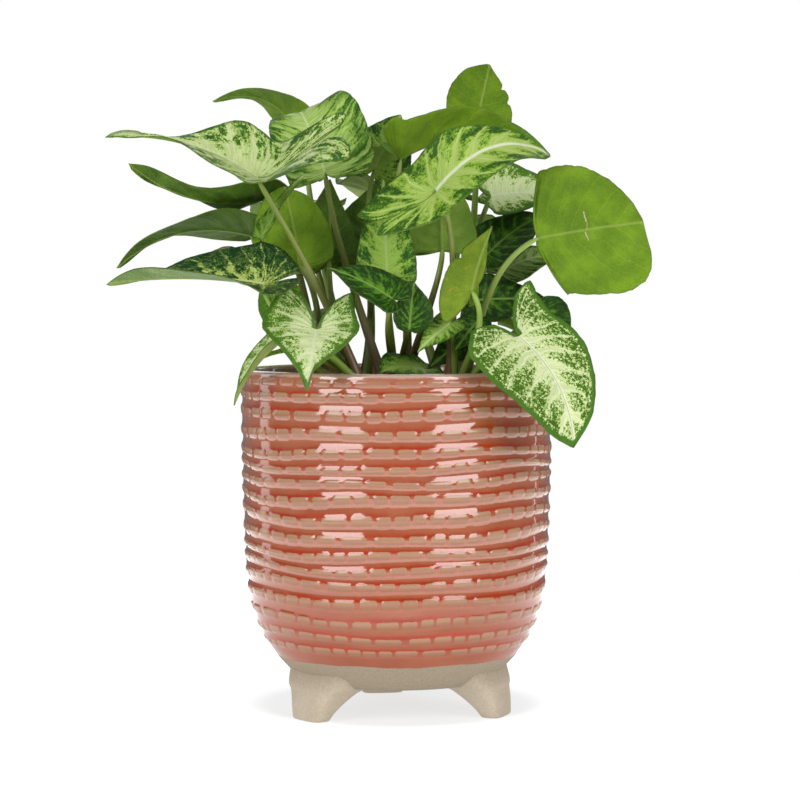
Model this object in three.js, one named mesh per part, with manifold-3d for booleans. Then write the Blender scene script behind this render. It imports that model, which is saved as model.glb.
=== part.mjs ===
// Arrowhead plant in a glazed three-footed pot.
//
// Millimetres and degrees. The pot stands on z = 0 and the plant's front, where the two large
// pale leaves hang over the rim, faces -y. Every place below is measured from the pot's axis, and
// the whole is then moved so that the origin lies under the middle of the plant's box.

import * as THREE from 'three';
import { mergeVertices } from 'three/addons/utils/BufferGeometryUtils.js';
import Module from 'manifold-3d';

const wasm = await Module();
wasm.setup();

// ---------- driving dimensions ----------

const clearance = 0.3; // gap left between pieces that touch
const boxMiddle = [-8, 12]; // middle of the plant's box, seen from above

const pot = {
  rimHeight: 153.3,
  rimRadius: 69.2, // outside, at the middle of a ridge
  wall: 5.2,
  baseHeight: 15, // underside of the bowl above the floor
  floorHeight: 24, // inside bottom of the bowl
  ridgeCount: 16,
  ridgeBottom: 30, // lowest groove
  ridgeTop: 146, // highest groove
  ridgeDepth: 1.3, // crest to groove
  ridgeWander: 1.5, // how far all ridges drift up and down on their way round
  ridgeOwn: 0.8, // how far each one strays from its neighbours
  ridgeUneven: 1.3, // how far its level is off an even spacing
  segments: 40,
};

// Half profile of the bowl's outside, from the underside to the rim: [radius, height].
const bowlProfile = [
  [44, 15], [48.6, 20], [54.8, 27], [60.4, 36], [64.4, 46], [66.6, 58],
  [67.8, 76], [68.6, 98], [69.1, 124], [69.2, 146], [68.6, 151.6],
];

const foot = {
  angles: [-142, -22, 98], // round the axis from +x
  squareness: 0.6, // power of the section's outline: 1 is an ellipse, 0 a rectangle
  sides: 16,
  // height, distance of the middle from the axis, half width round the pot, half depth
  sections: [
    [0, 47.5, 9.5, 5],
    [4, 46, 11, 6.5],
    [8, 43.5, 13, 8.5],
    [12, 40.5, 16, 10.5],
    [15, 38, 19.5, 12.5],
    [22, 35, 22, 13],
  ],
};

const soil = { top: 132, crown: 3, holeDepth: 22, segments: 24 };

// Each crown is one young stem with its leaf stalks; at is where it stands in the soil.
const crowns = [
  { name: 'crown_front', at: [-8, -34], lean: [-3, -4] },
  { name: 'crown_left', at: [-24, -8], lean: [-5, 1] },
  { name: 'crown_centre', at: [0, -4], lean: [0, -2] },
  { name: 'crown_right', at: [22, -24], lean: [4, -3] },
  { name: 'crown_back_left', at: [-16, 22], lean: [-4, 5] },
  { name: 'crown_back_right', at: [20, 16], lean: [4, 4] },
];

const stem = { radius: 5.2, holeRadius: 5.6, above: 13, sides: 10 };

const stalk = { baseRadius: 2.3, tipRadius: 1.15, sides: 5, steps: 7 };

const blade = {
  thickness: 0.8,
  rows: 8, // steps along the edge of each half
  columns: 3, // steps from the midrib to the edge
  largeWidth: 29, // a narrower blade has one step less
};

// Half outline of a blade. x runs from the joint to the tip as a share of the length where it is
// positive and of the back lobe's length where it is negative. y is a share of the lobe's spread
// in the first two points and of the half width in the others.
const bladeOutline = {
  lobe: [[-0.86, 0.5], [-1.0, 1.0]],
  side: [[-0.62, 0.86], [0.0, 1.0], [0.24, 0.97], [0.52, 0.7], [0.79, 0.32], [1.0, 0.0]],
  blunt: [[-0.62, 0.86], [0.0, 0.94], [0.3, 1.03], [0.6, 0.98], [0.86, 0.66], [1.0, 0.0]],
};

const tones = {
  pale: 0xb4cf7e,
  mottled: 0x7fae45,
  green: 0x5c9127,
  dark: 0x2f5a22,
};

const stalkColour = 0x86854a;
const soilColour = 0x3a2a20;
const potColour = 0xc8745c;

// One entry for each leaf: the joint where the stalk meets the blade, the tip, the way its upper
// face looks, the width across both halves, the back lobe's length and spread, the rise of the
// arched midrib, the lift of the lobe ends, the fold of the left and right halves about the
// midrib, the sideways bow, the twist from joint to tip, the height of the edge's waves, and the
// crown that carries it. late is the power that holds the lobes' lift back, foldTip and foldLobe
// are the fold at the blade's ends, and away is the way the stalk leaves the joint.
const leaves = [
  // top left, pale, over the left side
  { crown: 0, joint: [-60, -36, 237], tip: [-127.4, -22, 255], face: [0, -0.36, 0.93], width: [60, 43],
    lobe: [43, 30], spread: [20, 25], arch: 7, lift: [37, 16], fold: [18, 38], foldTip: [22, 8],
    foldLobe: [-30, 44], blunt: [-0.5, -0.8], wave: [1, 2.5], waves: 3, phase: 0.05,
    away: [0.51, 0.03, -0.86], tone: 'pale' },
  // top, its tip bent away to the back
  { crown: 2, joint: [-32, 2, 241], tip: [-44, 36, 261], face: [-0.1, -0.8, 0.6], width: [36, 50],
    lobe: [6, 10], spread: [8, 16], arch: 19, lift: -1, fold: [8, 8], blunt: 0.5, wave: 1.2,
    away: [0.05, 0.78, -0.63], tone: 'mottled' },
  { crown: 4, joint: [-42, 60, 254], tip: [-85, 46, 275], face: [0, 0.3, 1], width: 34,
    lobe: 18, spread: 12, arch: 13, lift: 0, fold: [8, 8], wave: 1.2,
    away: [0.01, -0.77, -0.63], tone: 'green' },
  // the three long leaves at the left
  { crown: 1, joint: [-60, 6, 229], tip: [-118, -14, 244], face: [0, 0.32, 1], width: [34, 30],
    lobe: 16, spread: 9, arch: -8, lift: 0, fold: [10, 10], blunt: [0.2, -0.6], wave: 2,
    away: [0.51, -0.83, -0.22], tone: 'green' },
  { crown: 1, joint: [-65.5, 9, 213], tip: [-124, -9, 198], face: [0, 0.36, 1], width: 34,
    lobe: 14, spread: 10, arch: 9, lift: 0, fold: [10, 10], wave: 1.4, tone: 'green' },
  { crown: 0, joint: [-57, -48, 191], tip: [-124, -50, 191], face: [0, -0.14, 1], width: 50,
    lobe: 16, spread: 11, arch: 3, lift: 3, fold: [-2, 36], foldTip: [46, 20],
    foldLobe: [-2, 12], blunt: [0, -0.7], wave: 1.4,
    away: [0.19, -0.51, -0.84], tone: 'dark' },
  // left of the middle
  { crown: 1, joint: [-42.5, -21, 199], tip: [-49.5, -11, 234], face: [0.1, 0.9, 0.2], width: [32, 38],
    lobe: 3, spread: 10, arch: 3, lift: 0, fold: [20, 0], blunt: 0.6, sweep: [3, 6], wave: 1.5,
    away: [0.54, -0.61, -0.58], tone: 'green' },
  { crown: 1, joint: [-58.9, -23.4, 211.4], tip: [-40, -22, 239], face: [-0.3, -0.8, 0.5], width: [9, 20],
    lobe: 3, spread: 3, arch: 2, lift: 0, fold: [48, 48], wave: 1,
    away: [-0.13, 0.21, -0.97], tone: 'mottled' },
  // front left, white, hanging over the rim
  { crown: 0, joint: [-34, -62, 172], tip: [-37, -86, 147], face: [0, -0.9, 0.35],
    width: [36, 45], lobe: [20, 22], spread: [14, 17], arch: 3, lift: 0, fold: [10, 10],
    blunt: [-0.6, -0.3], wave: 1, tone: 'pale' },
  { crown: 0, joint: [-48, -54, 168], tip: [-70, -44, 139], face: [-0.6, -0.5, 0.6], width: 13,
    lobe: 6, spread: 3, arch: 3, lift: 0, fold: [50, 50], wave: 0.5, tone: 'green' },
  { crown: 0, joint: [-50, -36, 185], tip: [-49, -40, 165], face: [-0.3, -0.9, 0.2], width: 20,
    lobe: 7, spread: 5, arch: 2, lift: 0, fold: [10, 10], wave: 0.8, tone: 'green' },
  { crown: 0, joint: [-40, -38, 162], tip: [-62, -42, 157], face: [0, 0.2, 1], width: 18,
    lobe: 8, spread: 5, arch: 2, lift: 0, fold: [10, 10], wave: 0.8, tone: 'green' },
  // the middle
  { crown: 2, joint: [-2, -55, 185], tip: [-30, -45, 198], face: [-0.1, -0.62, 0.75], width: 21,
    lobe: 7, spread: 5, arch: 2, lift: 0, fold: [14, 14], wave: 0.8,
    away: [-0.19, 0.53, -0.83], tone: 'dark' },
  { crown: 2, joint: [-4, -38, 194], tip: [-6, -24, 237], face: [0, -0.9, 0.3], width: 26,
    lobe: 8, spread: 7, arch: 3, lift: 0, fold: [10, 10], wave: 1.2, tone: 'mottled' },
  { crown: 3, joint: [17, -56, 231], tip: [66, -44, 246], face: [0, -0.7, 0.7], width: [38, 35],
    lobe: [33, 31], spread: [9, 11], arch: 15, lift: [-11, -4], late: [3, 1.5], fold: [10, 10],
    blunt: [0, 0.6], wave: 1.2,
    away: [0.38, 0.75, -0.54], tone: 'pale' },
  { crown: 2, joint: [2, -2, 247], tip: [69, 10, 249], face: [0, 0.05, 1], width: [46, 42],
    lobe: [9, 9], spread: 14, arch: 9, lift: 4, fold: [22, 45], foldTip: [80, 42], wave: 1.4, tone: 'green' },
  { crown: 5, joint: [37, 34, 266], tip: [43, 46, 292], face: [0, 0.9, -0.2], width: 31,
    lobe: 5, spread: 9, arch: 3, lift: 0, fold: [8, 8], blunt: [0.3, 1.1], wave: 1.2, tone: 'green' },
  { crown: 5, joint: [42, -4, 230], tip: [79, 6, 229], face: [0, -0.75, 0.65], width: [36, 26],
    lobe: [6, 3], spread: [8, 4], arch: 3, lift: 0, fold: [8, 8], wave: 1, tone: 'pale' },
  // the large leaf at the right, its underside to the front
  { crown: 3, joint: [61, -40, 211], tip: [107, -34, 218], face: [0, 0.95, 0.15], width: [60, 58],
    lobe: 3, spread: [8, 18], arch: 3, lift: 0, fold: [10, 10], blunt: [1, 0.35], sweep: [14, 7],
    wave: 1.6,
    away: [-0.9, 0.05, -0.45], tone: 'green' },
  { crown: 5, joint: [40, -16, 204], tip: [65, 2, 221], face: [-0.2, -0.8, 0.5], width: 25,
    lobe: 6, spread: 6, arch: 3, lift: 0, fold: [10, 10], blunt: 0.4, wave: 1, tone: 'dark' },
  { crown: 5, joint: [47, 8, 196], tip: [72, 18, 203], face: [0, -0.6, 0.8], width: 24,
    lobe: 8, spread: 6, arch: 3, lift: 0, fold: [8, 8], blunt: 0.5, wave: 1, tone: 'mottled' },
  // front right, white and green, hanging over the rim
  { crown: 3, joint: [52, -58, 169], tip: [75, -66, 122], face: [0.3, -0.9, 0.3],
    width: [40, 54], lobe: [20, 10], spread: [15, 18], arch: 3, lift: 0, fold: [8, 8],
    blunt: [0.5, 0.35], sway: 5,
    wave: 1.3, tone: 'pale' },
  { crown: 3, joint: [62, -32, 179], tip: [74, -34, 155], face: [0.3, -0.9, 0.3], width: 24,
    lobe: 5, spread: 5, arch: 2, lift: 0, fold: [8, 8], wave: 0.8, tone: 'dark' },
  { crown: 3, joint: [36, -22, 184], tip: [68, -10, 183], face: [0, -0.8, 0.4], width: 23,
    lobe: 8, spread: 6, arch: 2, lift: 0, fold: [8, 8], wave: 0.8,
    away: [-0.67, 0.69, 0.29], tone: 'dark' },
  { crown: 3, joint: [32, -50, 188], tip: [41, -44, 216], face: [-0.3, 0.9, 0], width: [12, 26],
    lobe: [6, 16], spread: [3, 8], arch: 2, lift: 0, fold: [35, 25], wave: 1.4,
    away: [0.5, -0.3, -0.81], tone: 'green' },
  { crown: 2, joint: [20, -26, 206], tip: [19, -12, 246], face: [0, 0.95, 0.1], width: 31,
    lobe: 1, spread: 9, arch: 3, lift: 0, fold: [8, 8], blunt: 0.2, wave: 1.2, tone: 'green' },
  { crown: 2, joint: [5.5, -50, 172], tip: [7.5, -48, 192], face: [0, -0.9, 0.3], width: [15, 20],
    lobe: 3, spread: 5, arch: 1, lift: 0, fold: [14, 14], sweep: 4, wave: 0.5,
    away: [0.04, 1, 0.09], tone: 'dark' },
  { crown: 3, joint: [23, -44, 174], tip: [9, -52, 162], face: [-0.2, -0.8, 0.5], width: 14,
    lobe: 5, spread: 4, arch: 1, lift: 0, fold: [10, 10], wave: 0.6, tone: 'mottled' },
  { crown: 3, joint: [35, -37.5, 175], tip: [25, -42.5, 162], face: [0, -0.9, 0.4], width: 14,
    lobe: 4, spread: 3, arch: 1, lift: 0, fold: [10, 10], wave: 0.6, tone: 'dark' },
  { crown: 2, joint: [12, -30, 154], tip: [-7, -48, 153], face: [0, -0.5, 0.85], width: 24,
    lobe: 6, spread: 5, arch: 2, lift: 0, fold: [8, 8], blunt: 0.6, wave: 0.8, tone: 'dark' },
  { crown: 5, joint: [32, -20, 169], tip: [14, -24, 154], face: [0.3, -0.8, 0.5], width: 17,
    lobe: 5, spread: 4, arch: 1, lift: 0, fold: [8, 8], wave: 0.8, tone: 'dark' },
  // behind the middle
  { crown: 4, joint: [-30.3, 15, 201], tip: [-30.3, 25, 238.4], face: [0, 0.9, 0.3], width: [26, 34],
    lobe: 6, spread: [6, 12], arch: 3, lift: 0, fold: [10, 10], wave: 1.2, tone: 'dark' },
  { crown: 4, joint: [-10, 18, 243], tip: [2, 30, 268], face: [0.2, -0.8, 0.5], width: 30,
    lobe: 8, spread: 8, arch: 3, lift: 0, fold: [10, 10], wave: 1,
    away: [-0.25, 0.34, -0.91], tone: 'mottled' },
  { crown: 4, joint: [-12, 27, 206], tip: [-6, 33, 240], face: [0, 0.9, 0.3], width: 40,
    lobe: 8, spread: 12, arch: 3, lift: 0, fold: [10, 10], wave: 1.2, tone: 'dark' },
  // the back of the plant
  { crown: 4, joint: [-42, 46, 222], tip: [-68, 88, 214], face: [-0.3, 0.4, 1], width: 42,
    lobe: 14, spread: 12, arch: 7, lift: 3, fold: [12, 12], wave: 1.4, tone: 'mottled' },
  { crown: 5, joint: [-6, 60, 232], tip: [-10, 110, 220], face: [0, 0.5, 1], width: 46,
    lobe: 16, spread: 13, arch: 8, lift: 3, fold: [12, 12], wave: 1.4, tone: 'pale' },
  { crown: 5, joint: [30, 46, 214], tip: [52, 92, 200], face: [0.3, 0.5, 1], width: 44,
    lobe: 18, spread: 12, arch: 7, lift: 3, fold: [12, 12], wave: 1.4, tone: 'green' },
  { crown: 5, joint: [50, 30, 226], tip: [94, 60, 226], face: [0.3, 0.2, 1], width: 42,
    lobe: 16, spread: 11, arch: 8, lift: 3, fold: [12, 12], wave: 1.4, tone: 'mottled' },
  { crown: 4, joint: [-60, 32, 198], tip: [-98, 54, 194], face: [-0.3, 0.3, 1], width: 34,
    lobe: 16, spread: 11, arch: 7, lift: 3, fold: [12, 12], wave: 1.4, tone: 'green' },
  { crown: 4, joint: [-44, 50, 172], tip: [-50, 92, 160], face: [-0.2, 0.8, 0.6], width: 34,
    lobe: 14, spread: 10, arch: 5, lift: 2, fold: [12, 12], wave: 1.2, tone: 'pale' },
  { crown: 5, joint: [60, 48, 168], tip: [76, 84, 150], face: [0.4, 0.8, 0.6], width: 28,
    lobe: 12, spread: 9, arch: 5, lift: 2, fold: [12, 12], wave: 1.2, tone: 'mottled' },
];

// ---------- helpers ----------

const radians = (degrees) => (degrees * Math.PI) / 180;

function makeGeometry(positions, triangles) {
  const geometry = new THREE.BufferGeometry();
  geometry.setAttribute('position', new THREE.Float32BufferAttribute(positions.flat(), 3));
  geometry.setIndex(triangles.flat());
  return geometry;
}

function toSolid(geometry) {
  const plain = geometry.clone();
  plain.deleteAttribute('normal');
  plain.deleteAttribute('uv');
  const merged = mergeVertices(plain, 1e-4);
  return new wasm.Manifold(new wasm.Mesh({
    numProp: 3,
    vertProperties: new Float32Array(merged.attributes.position.array),
    triVerts: new Uint32Array(merged.index.array),
  }));
}

function fromSolid(solid) {
  const mesh = solid.getMesh();
  const geometry = new THREE.BufferGeometry();
  geometry.setAttribute('position', new THREE.BufferAttribute(mesh.vertProperties, 3));
  geometry.setIndex(new THREE.BufferAttribute(mesh.triVerts, 1));
  return geometry;
}

const group = new THREE.Group();

function addMesh(name, geometry, color, roughness) {
  const material = new THREE.MeshStandardMaterial({ color, roughness, metalness: 0 });
  const mesh = new THREE.Mesh(geometry, material);
  mesh.name = name;
  group.add(mesh);
}

// Joins closed rings of equal length into one skin and closes its two ends with a fan.
function skinRings(rings) {
  const count = rings[0].length;
  const positions = rings.flat();
  const triangles = [];
  for (let r = 0; r + 1 < rings.length; r += 1) {
    for (let i = 0; i < count; i += 1) {
      const j = (i + 1) % count;
      const a = r * count;
      const b = a + count;
      triangles.push([a + i, a + j, b + j], [a + i, b + j, b + i]);
    }
  }
  for (const [ring, start] of [[rings[0], 0], [rings.at(-1), (rings.length - 1) * count]]) {
    const centre = [0, 1, 2].map((k) => ring.reduce((sum, p) => sum + p[k], 0) / count);
    const hub = positions.push(centre) - 1;
    for (let i = 0; i < count; i += 1) {
      const j = (i + 1) % count;
      triangles.push(start === 0 ? [hub, start + j, start + i] : [hub, start + i, start + j]);
    }
  }
  return makeGeometry(positions, triangles);
}

function curveThrough(points) {
  const vectors = points.map(([x, y]) => new THREE.Vector3(x, y, 0));
  return new THREE.CatmullRomCurve3(vectors, false, 'catmullrom', 0.5);
}

// ---------- pot ----------

const bowlCurve = curveThrough(bowlProfile);

// Outside radius of the smooth bowl at a height, found by halving along the profile.
function bowlRadius(height) {
  let low = 0;
  let high = 1;
  for (let i = 0; i < 24; i += 1) {
    const middle = (low + high) / 2;
    if (bowlCurve.getPoint(middle).y < height) low = middle;
    else high = middle;
  }
  return bowlCurve.getPoint(low).x;
}

// Height of a crest at an angle round the pot. Crests are spaced a little unevenly, drift up and
// down together on their way round, and each strays a little from its neighbours.
function crestHeight(k, angle) {
  const pitch = (pot.ridgeTop - pot.ridgeBottom) / pot.ridgeCount;
  const level = pot.ridgeBottom + pitch * (k + 0.5) + pot.ridgeUneven * Math.sin(5.1 * k);
  const slow = Math.sin(2 * angle + 1.3 + 0.19 * k);
  const quick = 0.5 * Math.sin(5 * angle + 0.4 + 0.44 * k);
  const drift = (pot.ridgeWander * (slow + quick)) / 1.5;
  const own = pot.ridgeOwn * Math.sin(3 * angle + 2.1 * k);
  const fade = Math.min(1, 0.2 * (k + 2), 0.2 * (pot.ridgeCount + 1 - k));
  return level + fade * (drift + own);
}

function ringAt(radiusAt, heightAt) {
  return Array.from({ length: pot.segments }, (_, i) => {
    const angle = (2 * Math.PI * i) / pot.segments;
    const radius = radiusAt(angle);
    return [radius * Math.cos(angle), radius * Math.sin(angle), heightAt(angle)];
  });
}

function plainRing(radius, height) {
  return ringAt(() => radius, () => height);
}

// Grooves lie halfway between neighbouring crests.
function ridgedRings() {
  const rings = [];
  const addRing = (offset, heightAt) => {
    rings.push(ringAt((angle) => bowlRadius(heightAt(angle)) + offset, heightAt));
  };
  for (let k = 0; k <= pot.ridgeCount; k += 1) {
    addRing(-pot.ridgeDepth / 2, (a) => (crestHeight(k - 1, a) + crestHeight(k, a)) / 2);
    if (k < pot.ridgeCount) addRing(pot.ridgeDepth / 2, (a) => crestHeight(k, a));
  }
  return rings;
}

function bowlGeometry() {
  const inner = pot.rimRadius - pot.wall;
  return skinRings([
    plainRing(20, pot.baseHeight),
    plainRing(44, pot.baseHeight),
    plainRing(bowlRadius(20), 20),
    plainRing(bowlRadius(25.5), 25.5),
    ...ridgedRings(),
    plainRing(bowlRadius(151), 151),
    plainRing(pot.rimRadius - 1.8, pot.rimHeight),
    plainRing(inner + 1.2, pot.rimHeight),
    plainRing(inner, pot.rimHeight - 1.6),
    plainRing(inner - 1, 110),
    plainRing(inner - 3.5, 52),
    plainRing(inner - 9, 34),
    plainRing(inner - 19, pot.floorHeight),
    plainRing(20, pot.floorHeight),
  ]);
}

// A foot is a wedge with softly rounded edges that narrows and swings outward on its way down.
function footGeometry(angle) {
  const turn = radians(angle);
  const outward = [Math.cos(turn), Math.sin(turn)];
  const around = [-outward[1], outward[0]];
  const soften = (value) => Math.sign(value) * Math.abs(value) ** foot.squareness;
  const rings = foot.sections.map(([height, radius, halfWidth, halfDepth]) => (
    Array.from({ length: foot.sides }, (_, i) => {
      const a = (2 * Math.PI * i) / foot.sides;
      const out = radius + halfDepth * soften(Math.cos(a));
      const side = halfWidth * soften(Math.sin(a));
      return [
        out * outward[0] + side * around[0],
        out * outward[1] + side * around[1],
        height,
      ];
    })
  ));
  return skinRings(rings);
}

function potGeometry() {
  let solid = toSolid(bowlGeometry());
  for (const angle of foot.angles) solid = solid.add(toSolid(footGeometry(angle)));
  return fromSolid(solid);
}

// ---------- soil ----------

function soilGeometry() {
  const inner = pot.rimRadius - pot.wall - clearance;
  const profile = [
    [0, pot.floorHeight + clearance],
    [inner - 19.4, pot.floorHeight + clearance],
    [inner - 9.4, 34 + clearance],
    [inner - 3.9, 52],
    [inner - 1.4, 110],
    [inner - 1.2, soil.top - 1],
    [inner - 12, soil.top + 0.6 * soil.crown],
    [0, soil.top + soil.crown],
  ];
  const lathe = new THREE.LatheGeometry(
    profile.map(([x, y]) => new THREE.Vector2(x, y)),
    soil.segments,
  );
  lathe.rotateX(Math.PI / 2);
  let solid = toSolid(lathe);
  for (const { at } of crowns) {
    const hole = new THREE.CylinderGeometry(
      stem.holeRadius,
      stem.holeRadius,
      60,
      stem.sides,
    );
    hole.rotateX(Math.PI / 2);
    hole.rotateZ(Math.PI / 2);
    hole.translate(at[0], at[1], soil.top - soil.holeDepth + 30);
    solid = solid.subtract(toSolid(hole));
  }
  return fromSolid(solid);
}

// ---------- blades ----------

const lobeSpans = bladeOutline.lobe.length + 1;
const outlineSpans = bladeOutline.lobe.length + bladeOutline.side.length - 1;

function bladeFrame(leaf) {
  const origin = new THREE.Vector3(...leaf.joint);
  const along = new THREE.Vector3(...leaf.tip).sub(origin);
  const length = along.length();
  along.normalize();
  const face = new THREE.Vector3(...leaf.face);
  face.addScaledVector(along, -face.dot(along)).normalize();
  const across = new THREE.Vector3().crossVectors(face, along);
  return { origin, along, across, face, length };
}

// A value that is given once for both halves of a blade, or as [left, right].
function forHalf(value, side) {
  return Array.isArray(value) ? value[side > 0 ? 0 : 1] : value;
}

function bladeCurve(leaf, length, side) {
  const half = forHalf(leaf.width, side) / 2;
  const lobe = forHalf(leaf.lobe, side);
  const spread = forHalf(leaf.spread, side);
  const blunt = forHalf(leaf.blunt ?? 0, side);
  const start = bladeOutline.lobe.map(([x, y]) => [x * lobe, y * spread]);
  const rest = bladeOutline.side.map(([x, y], k) => {
    const [roundX, roundY] = bladeOutline.blunt[k];
    const shareX = x + (roundX - x) * blunt;
    const shareY = y + (roundY - y) * blunt;
    return [shareX * (x < 0 ? lobe : length), shareY * half];
  });
  return curveThrough([...start, ...rest]);
}

// A point of the blade. side is 1 for the left half and -1 for the right, t picks the lateral
// vein from the lobe to the tip, and s runs along that vein from the midrib to the edge.
function bladePoint(leaf, frame, curves, side, t, s) {
  const { length } = frame;
  const { arch, sway = 0, twist = 0, waves = 2.5, phase = 0 } = leaf;
  const wave = forHalf(leaf.wave, side);
  const lobe = forHalf(leaf.lobe, side);
  const lift = forHalf(leaf.lift, side);
  const late = forHalf(leaf.late ?? 1.5, side);
  const sweep = forHalf(leaf.sweep ?? 0, side);
  const lobeShare = lobeSpans / outlineSpans;
  const edge = curves[side].getPoint(t);
  const rootX = length * Math.max(0, (t - lobeShare) / (1 - lobeShare)) ** 1.8;
  const dx = edge.x - rootX;
  const dy = edge.y;
  const bow = 0.28 * s * (1 - s);
  const v = dy * s + dx * bow;
  const reach = (2 * v) / forHalf(leaf.width, side);
  const x = rootX + dx * s - dy * bow + sweep * reach;
  const foldRoot = forHalf(leaf.fold, side);
  const foldTip = forHalf(leaf.foldTip ?? leaf.fold, side);
  const foldLobe = forHalf(leaf.foldLobe ?? leaf.fold, side);
  const back = Math.min(1, Math.max(0, -x / lobe));
  const share = Math.min(1, Math.max(0, x / length));
  const fold = radians(
    foldRoot + (foldTip - foldRoot) * share + (foldLobe - foldRoot) * back,
  );
  const turn = 2 * Math.PI * (waves * t + phase + (side > 0 ? 0 : 0.4));
  let y = side * v * Math.cos(fold);
  let z = v * Math.sin(fold) + wave * s * s * Math.sin(turn);
  const slope = (4 * arch) / length;
  const angle = radians(twist) * (x / length);
  const turned = y * Math.cos(angle) - z * Math.sin(angle);
  z = y * Math.sin(angle) + z * Math.cos(angle);
  y = turned;
  if (x >= 0) {
    z += slope * x * (1 - x / length);
    y += 4 * sway * (x / length) * (1 - x / length);
  } else {
    z += slope * x * Math.exp(x / (0.3 * lobe)) + lift * Math.sin(0.5 * Math.PI * back) ** late;
    y += 4 * sway * (x / length) * Math.exp(x / (0.3 * lobe));
  }
  return new THREE.Vector3()
    .copy(frame.origin)
    .addScaledVector(frame.along, x)
    .addScaledVector(frame.across, y)
    .addScaledVector(frame.face, z);
}

// The middle surface as a vertex list, its triangles and its border, both halves together.
function bladeSheet(leaf) {
  const frame = bladeFrame(leaf);
  const curves = { 1: bladeCurve(leaf, frame.length, 1), [-1]: bladeCurve(leaf, frame.length, -1) };
  const points = [];
  const index = new Map();
  const { rows } = blade;
  const width = (forHalf(leaf.width, 1) + forHalf(leaf.width, -1)) / 2;
  const columns = width < blade.largeWidth ? blade.columns - 1 : blade.columns;
  const firstRib = (lobeSpans / outlineSpans) * rows;
  const vertex = (side, i, j) => {
    let key = `${side} ${i} ${j}`;
    if (i === rows) key = 'tip';
    else if (j === 0) key = i <= firstRib ? 'joint' : `rib ${i}`;
    if (!index.has(key)) {
      const point = bladePoint(leaf, frame, curves, side, i / rows, j / columns);
      index.set(key, points.push(point) - 1);
    }
    return index.get(key);
  };
  const triangles = [];
  const border = [];
  const addTriangle = (side, a, b, c) => {
    if (a === b || b === c || c === a) return;
    triangles.push(side > 0 ? [a, b, c] : [a, c, b]);
  };
  for (const side of [1, -1]) {
    for (let i = 0; i < rows; i += 1) {
      for (let j = 0; j < columns; j += 1) {
        const a = vertex(side, i, j);
        const b = vertex(side, i + 1, j);
        const c = vertex(side, i + 1, j + 1);
        const d = vertex(side, i, j + 1);
        addTriangle(side, a, b, c);
        addTriangle(side, a, c, d);
      }
    }
    const edge = [];
    for (let j = 0; j < columns; j += 1) edge.push(vertex(side, 0, j));
    for (let i = 0; i <= rows; i += 1) edge.push(vertex(side, i, columns));
    for (let k = 0; k + 1 < edge.length; k += 1) {
      border.push(side > 0 ? [edge[k], edge[k + 1]] : [edge[k + 1], edge[k]]);
    }
  }
  return { frame, points, triangles, border };
}

// Both faces are the middle surface moved half a thickness along its vertex normals, and share
// its triangles, with a band of quads round the border.
function bladeGeometry(sheet) {
  const { points, triangles, border } = sheet;
  const normals = points.map(() => new THREE.Vector3());
  const ab = new THREE.Vector3();
  const ac = new THREE.Vector3();
  for (const [a, b, c] of triangles) {
    ab.subVectors(points[b], points[a]);
    ac.subVectors(points[c], points[a]);
    ab.cross(ac);
    for (const k of [a, b, c]) normals[k].add(ab);
  }
  const count = points.length;
  const offset = (sign) => points.map((p, k) => (
    p.clone().addScaledVector(normals[k].normalize(), (sign * blade.thickness) / 2).toArray()
  ));
  const faces = [];
  for (const [a, b, c] of triangles) {
    faces.push([a, b, c], [a + count, c + count, b + count]);
  }
  for (const [a, b] of border) {
    faces.push([a, b, b + count], [a, b + count, a + count]);
  }
  return makeGeometry([...offset(1), ...offset(-1)], faces);
}

// ---------- stalks and crowns ----------

// The stalk rises from the crown, swings out and meets the blade from below.
function stalkCurve(leaf, frame) {
  const crown = crowns[leaf.crown];
  const away = new THREE.Vector3();
  if (leaf.away) away.set(...leaf.away).normalize();
  else {
    away.addScaledVector(frame.face, -0.8).addScaledVector(frame.along, -0.3);
    away.z -= 0.5;
    away.normalize();
  }
  const sine = Math.sqrt(Math.max(0, 1 - away.dot(frame.face) ** 2));
  const short = blade.thickness / 2 + clearance + stalk.tipRadius * sine + 0.15;
  const end = frame.origin.clone().addScaledVector(frame.face, -short);
  const towards = new THREE.Vector2(end.x - crown.at[0], end.y - crown.at[1]).normalize();
  const root = new THREE.Vector3(
    crown.at[0] + crown.lean[0] * 0.6 + 2 * towards.x,
    crown.at[1] + crown.lean[1] * 0.6 + 2 * towards.y,
    soil.top + soil.crown + 1.8,
  );
  const span = end.distanceTo(root);
  const rise = new THREE.Vector3(0.35 * towards.x, 0.35 * towards.y, 1).normalize();
  return new THREE.CubicBezierCurve3(
    root,
    root.clone().addScaledVector(rise, 0.4 * span),
    end.clone().addScaledVector(away, 0.34 * span),
    end,
  );
}

function tubeRings(curve, radiusAt, sides, steps) {
  const frames = curve.computeFrenetFrames(steps, false);
  return Array.from({ length: steps + 1 }, (_, i) => {
    const centre = curve.getPointAt(i / steps);
    const radius = radiusAt(i / steps);
    return Array.from({ length: sides }, (__, k) => {
      const a = (2 * Math.PI * k) / sides;
      return centre.clone()
        .addScaledVector(frames.normals[i], radius * Math.cos(a))
        .addScaledVector(frames.binormals[i], radius * Math.sin(a))
        .toArray();
    });
  });
}

function stalkGeometry(leaf, frame) {
  const narrow = stalk.tipRadius;
  const extra = stalk.baseRadius - stalk.tipRadius;
  const radiusAt = (u) => narrow + extra * (1 - u) ** 1.5;
  return skinRings(tubeRings(stalkCurve(leaf, frame), radiusAt, stalk.sides, stalk.steps));
}

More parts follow.
